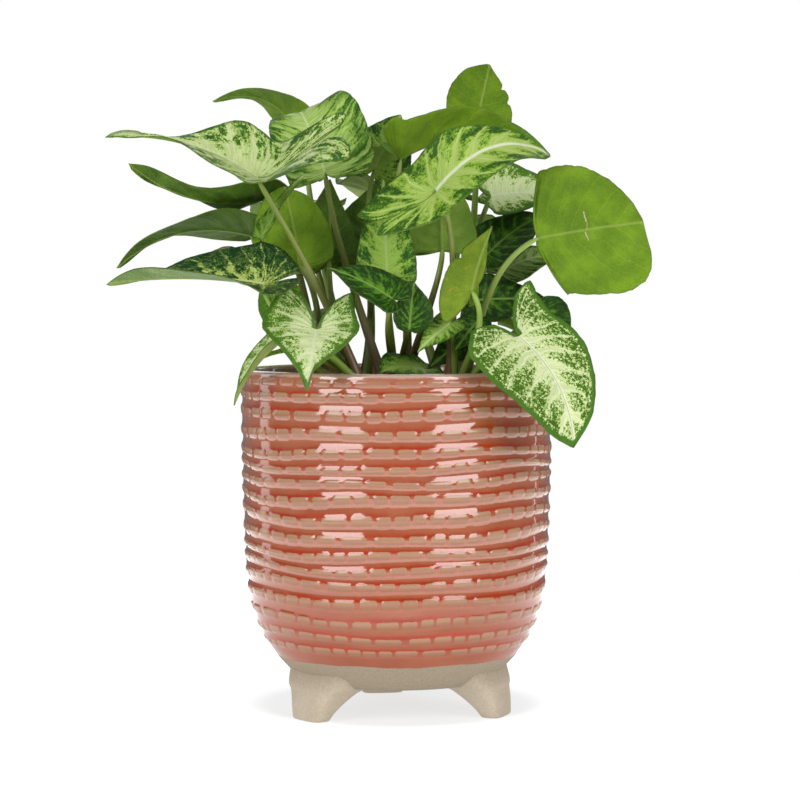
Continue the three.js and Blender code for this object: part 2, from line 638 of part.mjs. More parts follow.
function crownGeometry(number, stalks) {
  const { at, lean } = crowns[number];
  const foot3 = new THREE.Vector3(at[0], at[1], soil.top - soil.holeDepth + clearance);
  const collar = new THREE.Vector3(at[0], at[1], soil.top + soil.crown + 1);
  const top = new THREE.Vector3(at[0] + lean[0], at[1] + lean[1], soil.top + stem.above);
  const ring = (centre, radius) => Array.from({ length: stem.sides }, (_, k) => {
    const a = (2 * Math.PI * k) / stem.sides;
    return [centre.x + radius * Math.cos(a), centre.y + radius * Math.sin(a), centre.z];
  });
  let solid = toSolid(skinRings([
    ring(foot3, stem.radius * 0.8),
    ring(foot3.clone().setZ(foot3.z + 4), stem.radius),
    ring(collar, stem.radius),
    ring(top, stem.radius * 0.55),
  ]));
  for (const geometry of stalks) solid = solid.add(toSolid(geometry));
  return fromSolid(solid);
}

// ---------- the part ----------

addMesh('pot', potGeometry(), potColour, 0.15);
addMesh('soil', soilGeometry(), soilColour, 0.95);

const stalksOf = crowns.map(() => []);
leaves.forEach((leaf, k) => {
  const sheet = bladeSheet(leaf);
  addMesh(`leaf_${String(k + 1).padStart(2, '0')}`, bladeGeometry(sheet), tones[leaf.tone], 0.4);
  stalksOf[leaf.crown].push(stalkGeometry(leaf, sheet.frame));
});

crowns.forEach(({ name }, k) => {
  addMesh(name, crownGeometry(k, stalksOf[k]), stalkColour, 0.5);
});

group.position.set(-boxMiddle[0], -boxMiddle[1], 0);

export default group;
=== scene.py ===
import math

import bpy
import numpy as np
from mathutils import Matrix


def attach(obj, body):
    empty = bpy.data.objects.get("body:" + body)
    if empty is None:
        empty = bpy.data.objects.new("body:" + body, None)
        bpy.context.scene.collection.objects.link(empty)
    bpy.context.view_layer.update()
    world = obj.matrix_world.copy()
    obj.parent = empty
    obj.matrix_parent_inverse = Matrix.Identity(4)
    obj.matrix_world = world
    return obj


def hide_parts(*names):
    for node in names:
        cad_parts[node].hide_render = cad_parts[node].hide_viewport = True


# An arrowhead plant in a ridged coral glazed pot. Sizes are in millimetres from the pot's axis,
# as the part's source gives them, and placeMesh turns them into metres in the shared frame.

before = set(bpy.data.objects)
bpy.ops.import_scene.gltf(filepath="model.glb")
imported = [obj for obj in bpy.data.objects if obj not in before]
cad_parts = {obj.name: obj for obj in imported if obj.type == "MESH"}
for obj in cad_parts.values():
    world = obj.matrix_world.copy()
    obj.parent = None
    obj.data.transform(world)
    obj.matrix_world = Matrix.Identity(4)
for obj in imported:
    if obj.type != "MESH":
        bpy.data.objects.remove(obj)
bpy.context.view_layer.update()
potAxis = np.array([0.008, -0.012, 0.0])  # where the pot's axis stands in the frame, in metres
detail = 1.0


# ---- meshes ----

# Points in mm and rows of three indices become a piece that rides on the root body. extras holds
# values at every corner of every triangle, and hard marks the triangles that aren't smooth.
def placeMesh(name, points, triangles, paint, extras=None, hard=None):
    mesh = bpy.data.meshes.new(name)
    mesh.vertices.add(len(points))
    mesh.vertices.foreach_set("co", (points / 1000 + potAxis).astype(np.float32).ravel())
    mesh.loops.add(triangles.size)
    mesh.loops.foreach_set("vertex_index", triangles.astype(np.int32).ravel())
    mesh.polygons.add(len(triangles))
    mesh.polygons.foreach_set("loop_start", np.arange(0, triangles.size, 3, dtype=np.int32))
    mesh.update(calc_edges=True)
    smooth = np.ones(len(triangles), bool) if hard is None else ~hard
    mesh.polygons.foreach_set("use_smooth", smooth)
    for key, values in (extras or {}).items():
        kind, field = ("FLOAT", "value") if values.ndim == 1 else ("FLOAT_VECTOR", "vector")
        attribute = mesh.attributes.new(key, kind, "CORNER")
        attribute.data.foreach_set(field, values.astype(np.float32).ravel())
    mesh.materials.append(paint)
    piece = addObject(name, mesh)
    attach(piece, "root")
    return piece


def addObject(name, data):
    piece = bpy.data.objects.new(name, data)
    bpy.context.scene.collection.objects.link(piece)
    return piece


# A smooth line through some points: each stretch is a cubic whose slopes are half the step
# between its neighbours, and the ends are carried on straight. t runs from 0 to 1.
def throughPoints(points, t):
    points = np.asarray(points, float)
    padded = np.vstack([2 * points[0] - points[1], points, 2 * points[-1] - points[-2]])
    spans = len(points) - 1
    place = np.clip(np.asarray(t, float) * spans, 0, spans - 1e-9)
    k = place.astype(int)
    w = (place - k)[..., None]
    a, b, c, d = (padded[k + step] for step in range(4))
    return b + 0.5 * w * (c - a + w * (2 * a - 5 * b + 4 * c - d + w * (3 * (b - c) + d - a)))


# Values side by side on a last axis, each stretched to the shape of them all.
def sideBySide(*values):
    return np.stack(np.broadcast_arrays(*values), -1)


# Angles that go evenly round a circle.
def roundAngles(count):
    return np.arange(count) * 2 * math.pi / count


# Points at these distances from an axis, angles round it and heights.
def ringPoints(radius, angle, height):
    return sideBySide(radius * np.cos(angle), radius * np.sin(angle), height)


# Triangles of a grid of rows x columns points. A closed grid joins its last column to its first.
def gridTriangles(rows, columns, closed=False):
    across = columns if closed else columns - 1
    i, j = np.meshgrid(np.arange(rows - 1), np.arange(across), indexing="ij")
    a = i * columns + j
    d = i * columns + (j + 1) % columns
    b, c = a + columns, d + columns
    return np.concatenate([sideBySide(a, d, c), sideBySide(a, c, b)]).reshape(-1, 3)


# Closed rings, one above the other, with a hub at each end: rings is rows x columns x 3.
def skinRings(rings):
    rows, columns = rings.shape[:2]
    points = np.vstack([rings.reshape(-1, 3), rings[0].mean(0), rings[-1].mean(0)])
    j = np.arange(columns)
    k = (j + 1) % columns
    low, high = rows * columns, rows * columns + 1
    top = (rows - 1) * columns
    ends = [sideBySide(low, k, j), sideBySide(high, top + j, top + k)]
    return points, np.concatenate([gridTriangles(rows, columns, closed=True), *ends])


# Several closed shells as one mesh.
def joinShells(shells):
    starts = np.cumsum([0] + [len(points) for points, _ in shells[:-1]])
    points = np.vstack([points for points, _ in shells])
    return points, np.concatenate([faces + start for (_, faces), start in zip(shells, starts)])


def unit(vectors):
    return vectors / np.maximum(np.linalg.norm(vectors, axis=-1, keepdims=True), 1e-12)


# Smooth random hills: a sum of sines of random direction and phase, from about -1 to 1.
def hills(points, size, seed, waves=14):
    draw = np.random.default_rng(seed)
    directions = unit(draw.normal(size=(waves, points.shape[-1])))
    lengths = size * draw.uniform(0.6, 1.7, waves)
    phases = draw.uniform(0, 2 * math.pi, waves)
    turns = points @ (directions / lengths[:, None]).T * 2 * math.pi + phases
    return np.sin(turns).sum(-1) / math.sqrt(waves)


# ---- materials ----

# A socket that takes part in sums: each operator adds its Math node.
class Wire:
    def __init__(self, tree, socket):
        self.tree = tree
        self.socket = socket

    def __getitem__(self, key):
        return Wire(self.tree, self.socket.node.outputs[key])

    # any node: its type, its settings (a ramp's stops among them), and what its sockets take; it
    # gives the socket named last
    def node(self, kind, settings=None, sockets=None, output=0):
        return addNode(self.tree, kind, settings, sockets, output)

    def maths(self, operation, *values):
        return self.node("Math", {"operation": operation}, dict(enumerate(values)))

    def __add__(self, other):
        return self.maths("ADD", self, other)

    def __sub__(self, other):
        return self.maths("SUBTRACT", self, other)

    def __rsub__(self, other):
        return self.maths("SUBTRACT", other, self)

    def __mul__(self, other):
        return self.maths("MULTIPLY", self, other)

    def __truediv__(self, other):
        return self.maths("DIVIDE", self, other)

    def __pow__(self, other):
        return self.maths("POWER", self, other)

    def __abs__(self):
        return self.maths("ABSOLUTE", self)

    __radd__ = __add__
    __rmul__ = __mul__

    def fraction(self):
        return self.maths("FRACT", self)

    def sine(self):
        return self.maths("SINE", self)

    def least(self, other):
        return self.maths("MINIMUM", self, other)

    def most(self, other):
        return self.maths("MAXIMUM", self, other)

    # 0 below low, 1 above high, and a smooth rise between them
    def rise(self, low, high):
        ends = {0: self, 1: low, 2: high, 3: 0.0, 4: 1.0}
        return self.node("MapRange", {"interpolation_type": "SMOOTHSTEP"}, ends)

    # 1 below low and 0 above high
    def fall(self, low, high):
        return 1 - self.rise(low, high)

    def split(self):
        parts = self.node("SeparateXYZ", None, {0: self})
        return parts[0], parts[1], parts[2]

    # a colour between first and second, self being the share of the second
    def mix(self, first, second):
        return self.node("Mix", {"data_type": "RGBA"}, {0: self, 6: first, 7: second}, 2)

    def ramp(self, stops):
        return self.node("ValToRGB", {"stops": stops}, {0: self})

    # uneven stuff: this vector is where it is read
    def noise(self, scale, detail=2.0, roughness=0.5):
        sockets = {"Vector": self, "Scale": scale, "Detail": detail, "Roughness": roughness}
        return self.node("TexNoise", None, sockets, "Fac")


# A node of a shader. A socket takes a Wire, a number or a colour in hex digits.
def addNode(tree, kind, settings, sockets, output):
    node = tree.nodes.new("ShaderNode" + kind)
    for key, value in (settings or {}).items():
        if key == "stops":
            stops = node.color_ramp.elements
            while len(stops) < len(value):
                stops.new(0.5)
            for stop, (place, colour) in zip(stops, value):
                stop.position = place
                stop.color = tone(colour)
        else:
            setattr(node, key, value)
    for key, value in (sockets or {}).items():
        if isinstance(value, Wire):
            tree.links.new(value.socket, node.inputs[key])
        else:
            node.inputs[key].default_value = tone(value) if isinstance(value, str) else value
    return Wire(tree, node.outputs[output])


# A colour written as six hex digits, as a paint chart gives it, to the linear light of a shader.
def tone(code):
    shares = [int(code[k:k + 2], 16) / 255 for k in (0, 2, 4)]
    return [s / 12.92 if s <= 0.04045 else ((s + 0.055) / 1.055) ** 2.4 for s in shares] + [1]


# A fresh material: the place on the piece as a Wire, and a way to read its attributes.
def newPaint(name):
    paint = bpy.data.materials.new(name)
    paint.use_nodes = True
    tree = paint.node_tree
    tree.nodes.clear()
    place = addNode(tree, "TexCoord", None, None, "Object")
    return paint, place, lambda key, output: addNode(
        tree, "Attribute", {"attribute_name": key}, None, output)


# Ends a material: a Principled surface, with a share of light let through where glow is given.
def endPaint(place, sockets, glow=None, glowShare=0.0):
    surface = place.node("BsdfPrincipled", None, sockets, "BSDF")
    if glow:
        through = place.node("BsdfTranslucent", None, {"Color": glow}, "BSDF")
        surface = place.node("MixShader", None, {0: glowShare, 1: surface, 2: through})
    end = place.tree.nodes.new("ShaderNodeOutputMaterial")
    place.tree.links.new(surface.socket, end.inputs["Surface"])


def bumpy(place, height, strength, distance):
    return place.node("Bump", None, {"Height": height, "Strength": strength,
                                     "Distance": distance}, "Normal")


# ---- the leaves ----

leafForm = {
    "thickness": 0.5,
    "rows": 64,  # steps along the edge of each half, on a large blade
    "columns": 22,  # steps from the midrib to the edge
    "smallShare": 0.62,  # of those steps on a blade narrower than largeWidth
    "largeWidth": 29,
    "lobeShare": 3 / 7,  # of the edge belongs to the lobe, whose laterals start at the joint
    "bow": 0.28,  # how far a lateral bends forward on its way out
    "lanes": 11,  # lateral veins on each half
    "pucker": 0.32,  # how far the blade swells between two of them
    "ribWidth": 1.3,  # of the raised midrib at the joint
    "ribHeight": 0.75,
    "ribDip": 0.16,  # how far it and the laterals sink into the upper face
    "veinDip": 0.08,
    "veinHeight": 0.12,  # of the laterals on the lower face
    "edgeJag": 0.005,
    "crowding": 1.12,  # above 1, the steps are closer together near the midrib
    "seedStep": 1.7,  # from leaf to leaf
}

# Half outline of a blade, as in the part: the back lobe, then the side, slender or blunt.
bladeOutline = {
    "lobe": [(-0.86, 0.5), (-1.0, 1.0)],
    "side": [(-0.62, 0.86), (0.0, 1.0), (0.24, 0.97), (0.52, 0.7), (0.79, 0.32), (1.0, 0.0)],
    "blunt": [(-0.62, 0.86), (0.0, 0.94), (0.3, 1.03), (0.6, 0.98), (0.86, 0.66), (1.0, 0.0)],
}

# What a row of the table below doesn't say. Two values in brackets are for the left half of a
# blade and the right.
usualLeaf = dict(look="plain", arch=3, lift=0, late=1.5, fold=10, blunt=0, sweep=0, sway=0,
                 wave=1.2, waves=2.5, phase=0, nicks=(), paint={})
sidedValues = ("width", "lobe", "spread", "lift", "late", "fold", "foldTip", "foldLobe", "blunt",
               "sweep", "wave")


# A leaf's row: its crown, its joint, its tip, the way its upper face looks, and its form. The fold
# at the tip and the lobe is the fold at the joint where it isn't given.
def leafRow(crown, joint, tip, face, **form):
    row = {**usualLeaf, "crown": crown, "joint": joint, "tip": tip, "face": face, **form}
    return {"foldTip": row["fold"], "foldLobe": row["fold"], **row}


# Where each blade stands and how it is shaped, as in the part.
leaves = [
    # top left, pale, over the left side
    leafRow(0, (-60, -36, 237), (-127.4, -22, 255), (0, -0.36, 0.93), look="marbled",
            width=(60, 43), lobe=(43, 30), spread=(20, 25), arch=7, lift=(37, 16), fold=(18, 38),
            foldTip=(22, 8), foldLobe=(-30, 44), blunt=(-0.5, -0.8), wave=(1, 2.5), waves=3,
            phase=0.05, away=(0.51, 0.03, -0.86)),
    # top, its tip bent away to the back
    leafRow(2, (-32, 2, 241), (-44, 36, 261), (-0.1, -0.8, 0.6), look="streaked", width=(36, 50),
            lobe=(6, 10), spread=(8, 16), arch=19, lift=-1, fold=8, blunt=0.5,
            away=(0.05, 0.78, -0.63), paint=dict(colours=("2f5518", "5f8a2b", "94b54e", "b0cb72"),
                                                 streaks=0.45, blotch=0.36)),
    leafRow(4, (-42, 60, 254), (-85, 46, 275), (0, 0.3, 1), width=34, lobe=18, spread=12, arch=13,
            fold=8, away=(0.01, -0.77, -0.63)),
    # the three long leaves at the left
    leafRow(1, (-60, 6, 229), (-118, -14, 244), (0, 0.32, 1), width=(34, 30), lobe=16, spread=9,
            arch=-8, blunt=(0.2, -0.6), wave=2, away=(0.51, -0.83, -0.22),
            paint=dict(under="587c1c", underShade="3d5c10", underVein="7c9a3c")),
    leafRow(1, (-65.5, 9, 213), (-124, -9, 198), (0, 0.36, 1), width=34, lobe=14, spread=10, arch=9,
            wave=1.4, paint=dict(under="486818", underShade="365311", underVein="6c8834")),
    leafRow(0, (-57, -48, 191), (-124, -50, 191), (0, -0.14, 1), look="netted", width=50, lobe=16,
            spread=11, lift=3, fold=(-2, 36), foldTip=(46, 20), foldLobe=(-2, 12), blunt=(0, -0.7),
            wave=1.4, away=(0.19, -0.51, -0.84)),
    # left of the middle
    leafRow(1, (-42.5, -21, 199), (-49.5, -11, 234), (0.1, 0.9, 0.2), width=(32, 38), lobe=3,
            spread=10, fold=(20, 0), blunt=0.6, sweep=(3, 6), wave=1.5, away=(0.54, -0.61, -0.58)),
    leafRow(1, (-58.9, -23.4, 211.4), (-40, -22, 239), (-0.3, -0.8, 0.5), look="streaked",
            width=(9, 20), lobe=3, spread=3, arch=2, fold=48, wave=1, away=(-0.13, 0.21, -0.97)),
    # front left, white, hanging over the rim
    leafRow(0, (-34, -62, 172), (-37, -86, 147), (0, -0.9, 0.35), look="cream", width=(36, 45),
            lobe=(20, 22), spread=(14, 17), blunt=(-0.6, -0.3), wave=1),
    leafRow(0, (-48, -54, 168), (-70, -44, 139), (-0.6, -0.5, 0.6), look="cream", width=13, lobe=6,
            spread=3, fold=50, wave=0.5, paint=dict(borderWidth=0.9)),
    leafRow(0, (-50, -36, 185), (-49, -40, 165), (-0.3, -0.9, 0.2), width=20, lobe=7, spread=5,
            arch=2, wave=0.8),
    leafRow(0, (-40, -38, 162), (-62, -42, 157), (0, 0.2, 1), width=18, lobe=8, spread=5, arch=2,
            wave=0.8),
    # the middle
    leafRow(2, (-2, -55, 185), (-30, -45, 198), (-0.1, -0.62, 0.75), look="dark", width=21, lobe=7,
            spread=5, arch=2, fold=14, wave=0.8, away=(-0.19, 0.53, -0.83)),
    leafRow(2, (-4, -38, 194), (-6, -24, 237), (0, -0.9, 0.3), look="mottled", width=26, lobe=8,
            spread=7),
    leafRow(3, (17, -56, 231), (66, -44, 246), (0, -0.7, 0.7), look="ribbed", width=(38, 35),
            lobe=(33, 31), spread=(9, 11), arch=15, lift=(-11, -4), late=(3, 1.5), blunt=(0, 0.6),
            away=(0.38, 0.75, -0.54)),
    leafRow(2, (2, -2, 247), (69, 10, 249), (0, 0.05, 1), width=(46, 42), lobe=9, spread=14, arch=9,
            lift=4, fold=(22, 45), foldTip=(80, 42), wave=1.4),
    leafRow(5, (37, 34, 266), (43, 46, 292), (0, 0.9, -0.2), width=31, lobe=5, spread=9, fold=8,
            blunt=(0.3, 1.1), nicks=((1, 0.8, 0.012, 0.16), (1, 0.68, 0.02, 0.1)),
            paint=dict(under="6a8c10", underShade="54780e")),
    leafRow(5, (42, -4, 230), (79, 6, 229), (0, -0.75, 0.65), look="cream", width=(36, 26),
            lobe=(6, 3), spread=(8, 4), fold=8, wave=1),
    # the large leaf at the right, its underside to the front
    leafRow(3, (61, -40, 211), (107, -34, 218), (0, 0.95, 0.15), width=(60, 58), lobe=3,
            spread=(8, 18), blunt=(1, 0.35), sweep=(14, 7), wave=1.6, away=(-0.9, 0.05, -0.45),
            paint=dict(scars=((2.2, -0.75, 0.06, 0.4, 0.04, "c9c8a4"),
                              (2.3, -0.3, -0.1, 0.3, 0.03, "a59a6a"),
                              (2.15, 0.1, 0.12, 0.4, 0.03, "bdb98f")))),
    leafRow(5, (40, -16, 204), (65, 2, 221), (-0.2, -0.8, 0.5), look="dark", width=25, lobe=6,
            spread=6, blunt=0.4, wave=1),
    leafRow(5, (47, 8, 196), (72, 18, 203), (0, -0.6, 0.8), look="silvery", width=24, lobe=8,
            spread=6, fold=8, blunt=0.5, wave=1),
    # front right, white and green, hanging over the rim
    leafRow(3, (52, -58, 169), (75, -66, 122), (0.3, -0.9, 0.3), look="speckled", width=(40, 54),
            lobe=(20, 10), spread=(15, 18), fold=8, blunt=(0.5, 0.35), sway=5, wave=1.3),
    leafRow(3, (62, -32, 179), (74, -34, 155), (0.3, -0.9, 0.3), look="dark", width=24, lobe=5,
            spread=5, arch=2, fold=8, wave=0.8),
    leafRow(3, (36, -22, 184), (68, -10, 183), (0, -0.8, 0.4), look="dark", width=23, lobe=8,
            spread=6, arch=2, fold=8, wave=0.8, away=(-0.67, 0.69, 0.29)),
    leafRow(3, (32, -50, 188), (41, -44, 216), (-0.3, 0.9, 0), width=(12, 26), lobe=(6, 16),
            spread=(3, 8), arch=2, fold=(35, 25), wave=1.4, away=(0.5, -0.3, -0.81),
            nicks=((1, 0.55, 0.03, 0.25), (-1, 0.7, 0.03, 0.2)), paint=dict(spots="b0852a",
                                                                            under="7f982a",
                                                                            underShade="66821f")),
    leafRow(2, (20, -26, 206), (19, -12, 246), (0, 0.95, 0.1), width=31, lobe=1, spread=9, fold=8,
            blunt=0.2, paint=dict(under="7d9d3c", underShade="66882c")),
    leafRow(2, (5.5, -50, 172), (7.5, -48, 192), (0, -0.9, 0.3), look="dark", width=(15, 20),
            lobe=3, spread=5, arch=1, fold=14, sweep=4, wave=0.5, away=(0.04, 1, 0.09)),
    leafRow(3, (23, -44, 174), (9, -52, 162), (-0.2, -0.8, 0.5), look="streaked", width=14, lobe=5,
            spread=4, arch=1, wave=0.6),
    leafRow(3, (35, -37.5, 175), (25, -42.5, 162), (0, -0.9, 0.4), look="dark", width=14, lobe=4,
            spread=3, arch=1, wave=0.6),
    leafRow(2, (12, -30, 154), (-7, -48, 153), (0, -0.5, 0.85), look="mottled", width=24, lobe=6,
            spread=5, arch=2, fold=8, blunt=0.6, wave=0.8),
    leafRow(5, (32, -20, 169), (14, -24, 154), (0.3, -0.8, 0.5), look="dark", width=17, lobe=5,
            spread=4, arch=1, fold=8, wave=0.8),
    # behind the middle
    leafRow(4, (-30.3, 15, 201), (-30.3, 25, 238.4), (0, 0.9, 0.3), look="dark", width=(26, 34),
            lobe=6, spread=(6, 12)),
    leafRow(4, (-10, 18, 243), (2, 30, 268), (0.2, -0.8, 0.5), look="mottled", width=30, lobe=8,
            spread=8, wave=1, away=(-0.25, 0.34, -0.91)),
    leafRow(4, (-12, 27, 206), (-6, 33, 240), (0, 0.9, 0.3), look="dark", width=40, lobe=8,
            spread=12),
    # the back of the plant
    leafRow(4, (-42, 46, 222), (-68, 88, 214), (-0.3, 0.4, 1), look="marbled", width=42, lobe=14,
            spread=12, arch=7, lift=3, fold=12, wave=1.4),
    leafRow(5, (-6, 60, 232), (-10, 110, 220), (0, 0.5, 1), look="speckled", width=46, lobe=16,
            spread=13, arch=8, lift=3, fold=12, wave=1.4),
    leafRow(5, (30, 46, 214), (52, 92, 200), (0.3, 0.5, 1), look="ribbed", width=44, lobe=18,
            spread=12, arch=7, lift=3, fold=12, wave=1.4),
    leafRow(5, (50, 30, 226), (94, 60, 226), (0.3, 0.2, 1), look="marbled", width=42, lobe=16,
            spread=11, arch=8, lift=3, fold=12, wave=1.4),
    leafRow(4, (-60, 32, 198), (-98, 54, 194), (-0.3, 0.3, 1), look="netted", width=34, lobe=16,
            spread=11, arch=7, lift=3, fold=12, wave=1.4),
    leafRow(4, (-44, 50, 172), (-50, 92, 160), (-0.2, 0.8, 0.6), look="cream", width=34, lobe=14,
            spread=10, arch=5, lift=2, fold=12),
    leafRow(5, (60, 48, 168), (76, 84, 150), (0.4, 0.8, 0.6), look="streaked", width=28, lobe=12,
            spread=9, arch=5, lift=2, fold=12),
]

crowns = [
    dict(name="crown_front", at=(-8, -34), lean=(-3, -4)),
    dict(name="crown_left", at=(-24, -8), lean=(-5, 1)),
    dict(name="crown_centre", at=(0, -4), lean=(0, -2)),
    dict(name="crown_right", at=(22, -24), lean=(4, -3)),
    dict(name="crown_back_left", at=(-16, 22), lean=(-4, 5)),
    dict(name="crown_back_right", at=(20, 16), lean=(4, 4)),
]

# How a blade is coloured. Its upper face runs through four colours, the darkest first, by a
# level that is given at the midrib, half way out and at the margin. The laterals raise it, wide
# at the midrib and narrow at the margin; blotch spreads it in patches along them and speck in
# fine grains; collect raises it along the vein that follows the margin. Thin vein lines, the
# midrib and a border along the edge, so many mm wide, are drawn over that. under, underShade
# and underVein colour the lower face. A scar is a line: from along and across in cm, so far each
# way, how wide, and its colour.
looks = {
    "base": dict(colours=("2f5c1a", "5a8a26", "86ad3e", "9dbd54"), levels=(0.6, 0.55, 0.5),
                 laterals=0.12, veinWidth=(0.9, 0.25), streaks=0.22, blotch=0.2, blotchAcross=2.2,
                 blotchAlong=4.0, speck=0.2, grainScale=12.0, collect=0.0, wander=0.5, net=0.0,
                 vein="b5c97a", veinShare=0.3, rib="ccd994", ribShare=0.6, ribHalf=0.07,
                 ribLine=0.0, border="44711a", borderShare=0.0, borderWidth=1.4, under="74991b",
                 underShade="5c8014", underVein="94af3c", underRib=0.5, ribUnder="98ad55",
                 dryEdge="5c6b2a", ribCrease="7f8f5a", glow="8fae1c", glowShare=0.08, gloss=0.5,
                 scars=(), spots=None),
    "marbled": dict(colours=("30571c", "5f8c2c", "aac566", "cedb9c"), levels=(0.8, 0.5, 0.44),
                    laterals=0.26, blotch=0.5, blotchAcross=2.8, blotchAlong=5.0, speck=0.45,
                    collect=0.06, vein="dfe8be", rib="dbe5b6", borderShare=0.5, borderWidth=1.0),
    "streaked": dict(colours=("315619", "5b8826", "8bb044", "a3c25e"), levels=(0.66, 0.54, 0.44),
                     laterals=0.16, blotch=0.26, blotchAcross=2.8, blotchAlong=2.2, speck=0.2,
                     rib="c9dba0"),
    "netted": dict(colours=("17401c", "235124", "93b348", "cbd97e"), levels=(0.62, 0.37, 0.3),
                   laterals=0.3, veinWidth=(0.5, 0.25), blotch=0.4, blotchAcross=3.0,
                   blotchAlong=6.0, speck=0.5, vein="c5d27a", veinShare=0.35, rib="d5dfa2",
                   ribShare=1.0, ribHalf=0.12, net=0.4, wander=1.0, under="7d9560",
                   underShade="65804a"),
    "cream": dict(colours=("467418", "759a34", "bdd281", "d6e2ac"), levels=(0.78, 0.55, 0.4),
                  laterals=0.22, blotch=0.46, speck=0.6, grainScale=14.0, vein="dfe8c6",
                  rib="dde6c2", borderShare=0.9, borderWidth=2.0, under="9cb064",
                  underShade="869e50", underVein="b5c380"),
    "ribbed": dict(colours=("2b5216", "618f22", "8eb239", "b0ca66"), levels=(0.7, 0.5, 0.42),
                   laterals=0.26, blotch=0.4, speck=0.34, vein="cfdf9c", veinShare=0.6,
                   rib="e0e8c4", ribShare=1.0, ribHalf=0.13, borderShare=0.6, borderWidth=1.0),
    "speckled": dict(colours=("38600c", "587f19", "abc667", "d9e4ae"), levels=(0.74, 0.48, 0.38),
                     laterals=0.36, veinWidth=(0.7, 0.26), blotch=0.26, speck=0.85, grainScale=11.0,
                     collect=0.14, vein="d9e4b4", rib="dfe6c6", ribShare=0.9, ribHalf=0.1,
                     ribLine=0.6, borderShare=1.0, borderWidth=2.2, under="9cb060",
                     underShade="869e4c", underVein="b5c37c"),
    # Painted shade: deep, darkened greens for the blades that sit in shade inside the plant.
    "dark": dict(colours=("1b370b", "284e0e", "3c6814", "649227"), levels=(0.52, 0.46, 0.42),
                 blotch=0.3, vein="679236", veinShare=0.24, rib="8aa85c", ribShare=0.5,
                 under="55782a", underShade="436321"),
    "mottled": dict(colours=("254a15", "43731e", "7ba233", "9abb50"), levels=(0.72, 0.54, 0.4),
                    blotch=0.3, speck=0.36, rib="a9c37a"),
    "silvery": dict(colours=("33561d", "5f8735", "97b167", "b2c687"), levels=(0.52, 0.52, 0.46),
                    laterals=0.22, blotch=0.3, blotchAcross=3.2, blotchAlong=1.6, speck=0.2,
                    vein="b9cc94", veinShare=0.5),
    "plain": dict(colours=("4d7a24", "5f8c28", "76a034", "86ad42"), levels=(0.55, 0.5, 0.46),
                  streaks=0.1, laterals=0.04, blotch=0.1, speck=0.06, veinShare=0.2, rib="a5bc62"),
}


def both(value, side):
    return value[0 if side > 0 else 1] if isinstance(value, tuple) else value


# A blade's joint, the ways along it, across it and out of its upper face, and its length.
def bladeFrame(leaf):
    joint = np.array(leaf["joint"], float)
    along = np.array(leaf["tip"], float) - joint
    length = np.linalg.norm(along)
    along = along / length
    face = np.array(leaf["face"], float)
    face = unit(face - face @ along * along)
    return joint, along, np.cross(face, along), face, length


# Points of one half of a blade, side being 1 on the left and -1 on the right. t picks the
# lateral vein from the lobe to the tip, and s runs along it from the midrib to the edge. The
# vein bows forward; the half folds up about the midrib, waves at its edge, arches along its
# length and lifts at the lobe. It gives the places, the flat places in cm with the leaf's seed,
# and the lane, the share of the way out and the mm left to the margin.
def bladeHalf(leaf, side, t, s, seed):
    origin, along, across, face, length = bladeFrame(leaf)
    own = {key: both(leaf[key], side) for key in sidedValues}
    half, lobe, lobeShare = own["width"] / 2, own["lobe"], leafForm["lobeShare"]

    slender, blunt = np.array(bladeOutline["side"]), np.array(bladeOutline["blunt"])
    rest = slender + (blunt - slender) * own["blunt"]
    start = np.array(bladeOutline["lobe"]) * (lobe, own["spread"])
    rest = rest * sideBySide(np.where(slender[:, 0] < 0, lobe, length), half)
    edge = throughPoints(np.vstack([start, rest]), t)
    rootX = length * np.maximum(0, (t - lobeShare) / (1 - lobeShare)) ** 1.8

    ripple = np.sin(91 * t + seed) + 0.7 * np.sin(173 * t + 2 * seed) + np.sin(47 * t + 3 * seed)
    shrink = 1 + leafForm["edgeJag"] * ripple * s ** 3 * np.minimum(1, 12 * (1 - t))
    for where, at, wide, deep in leaf["nicks"]:
        if where == side:
            shrink = shrink - deep * np.exp(-((t - at) / wide) ** 2) * s ** 2
    dx = (edge[..., 0] - rootX) * shrink
    dy = edge[..., 1] * shrink
    bow = leafForm["bow"] * s * (1 - s)
    v = dy * s + dx * bow
    x = rootX + dx * s - dy * bow + own["sweep"] * v / half

    forward, back = x / length, np.maximum(-x, 0) / lobe
    fold = np.radians(own["fold"] + (own["foldTip"] - own["fold"]) * np.clip(forward, 0, 1)
                      + (own["foldLobe"] - own["fold"]) * np.clip(back, 0, 1))
    turn = 2 * math.pi * (leaf["waves"] * t + leaf["phase"] + (0 if side > 0 else 0.4))
    y = side * v * np.cos(fold)
    z = v * np.sin(fold) + own["wave"] * s * s * np.sin(turn)
    lane = t * leafForm["lanes"]
    z = z - leafForm["pucker"] * 4 * s * (1 - s) * np.cos(2 * math.pi * lane) * min(1, half / 20)
    fade = np.exp(-back / 0.3)
    rise = 4 * leaf["arch"] / length
    lifted = np.sin(0.5 * math.pi * np.clip(back, 0, 1)) ** own["late"]
    z = z + np.where(x >= 0, rise * x * (1 - forward), rise * x * fade + own["lift"] * lifted)
    sway = 4 * leaf["sway"] * x / length
    y = y + np.where(x >= 0, sway * (1 - forward), sway * fade)
    place = origin + x[..., None] * along + y[..., None] * across + z[..., None] * face
    toSide = (1 - s) * np.hypot(dx, dy) * 0.85
    toSinus = np.hypot(dx, dy) * s * t / lobeShare * 0.8
    margin = np.minimum(toSide, np.where(t < lobeShare, toSinus, 1e3))
    return place, sideBySide(x / 10, side * v / 10, seed), sideBySide(lane, s, margin)


# Which triangles have three different corners.
def isWhole(faces):
    a, b, c = faces.T
    return (a != b) & (b != c) & (c != a)


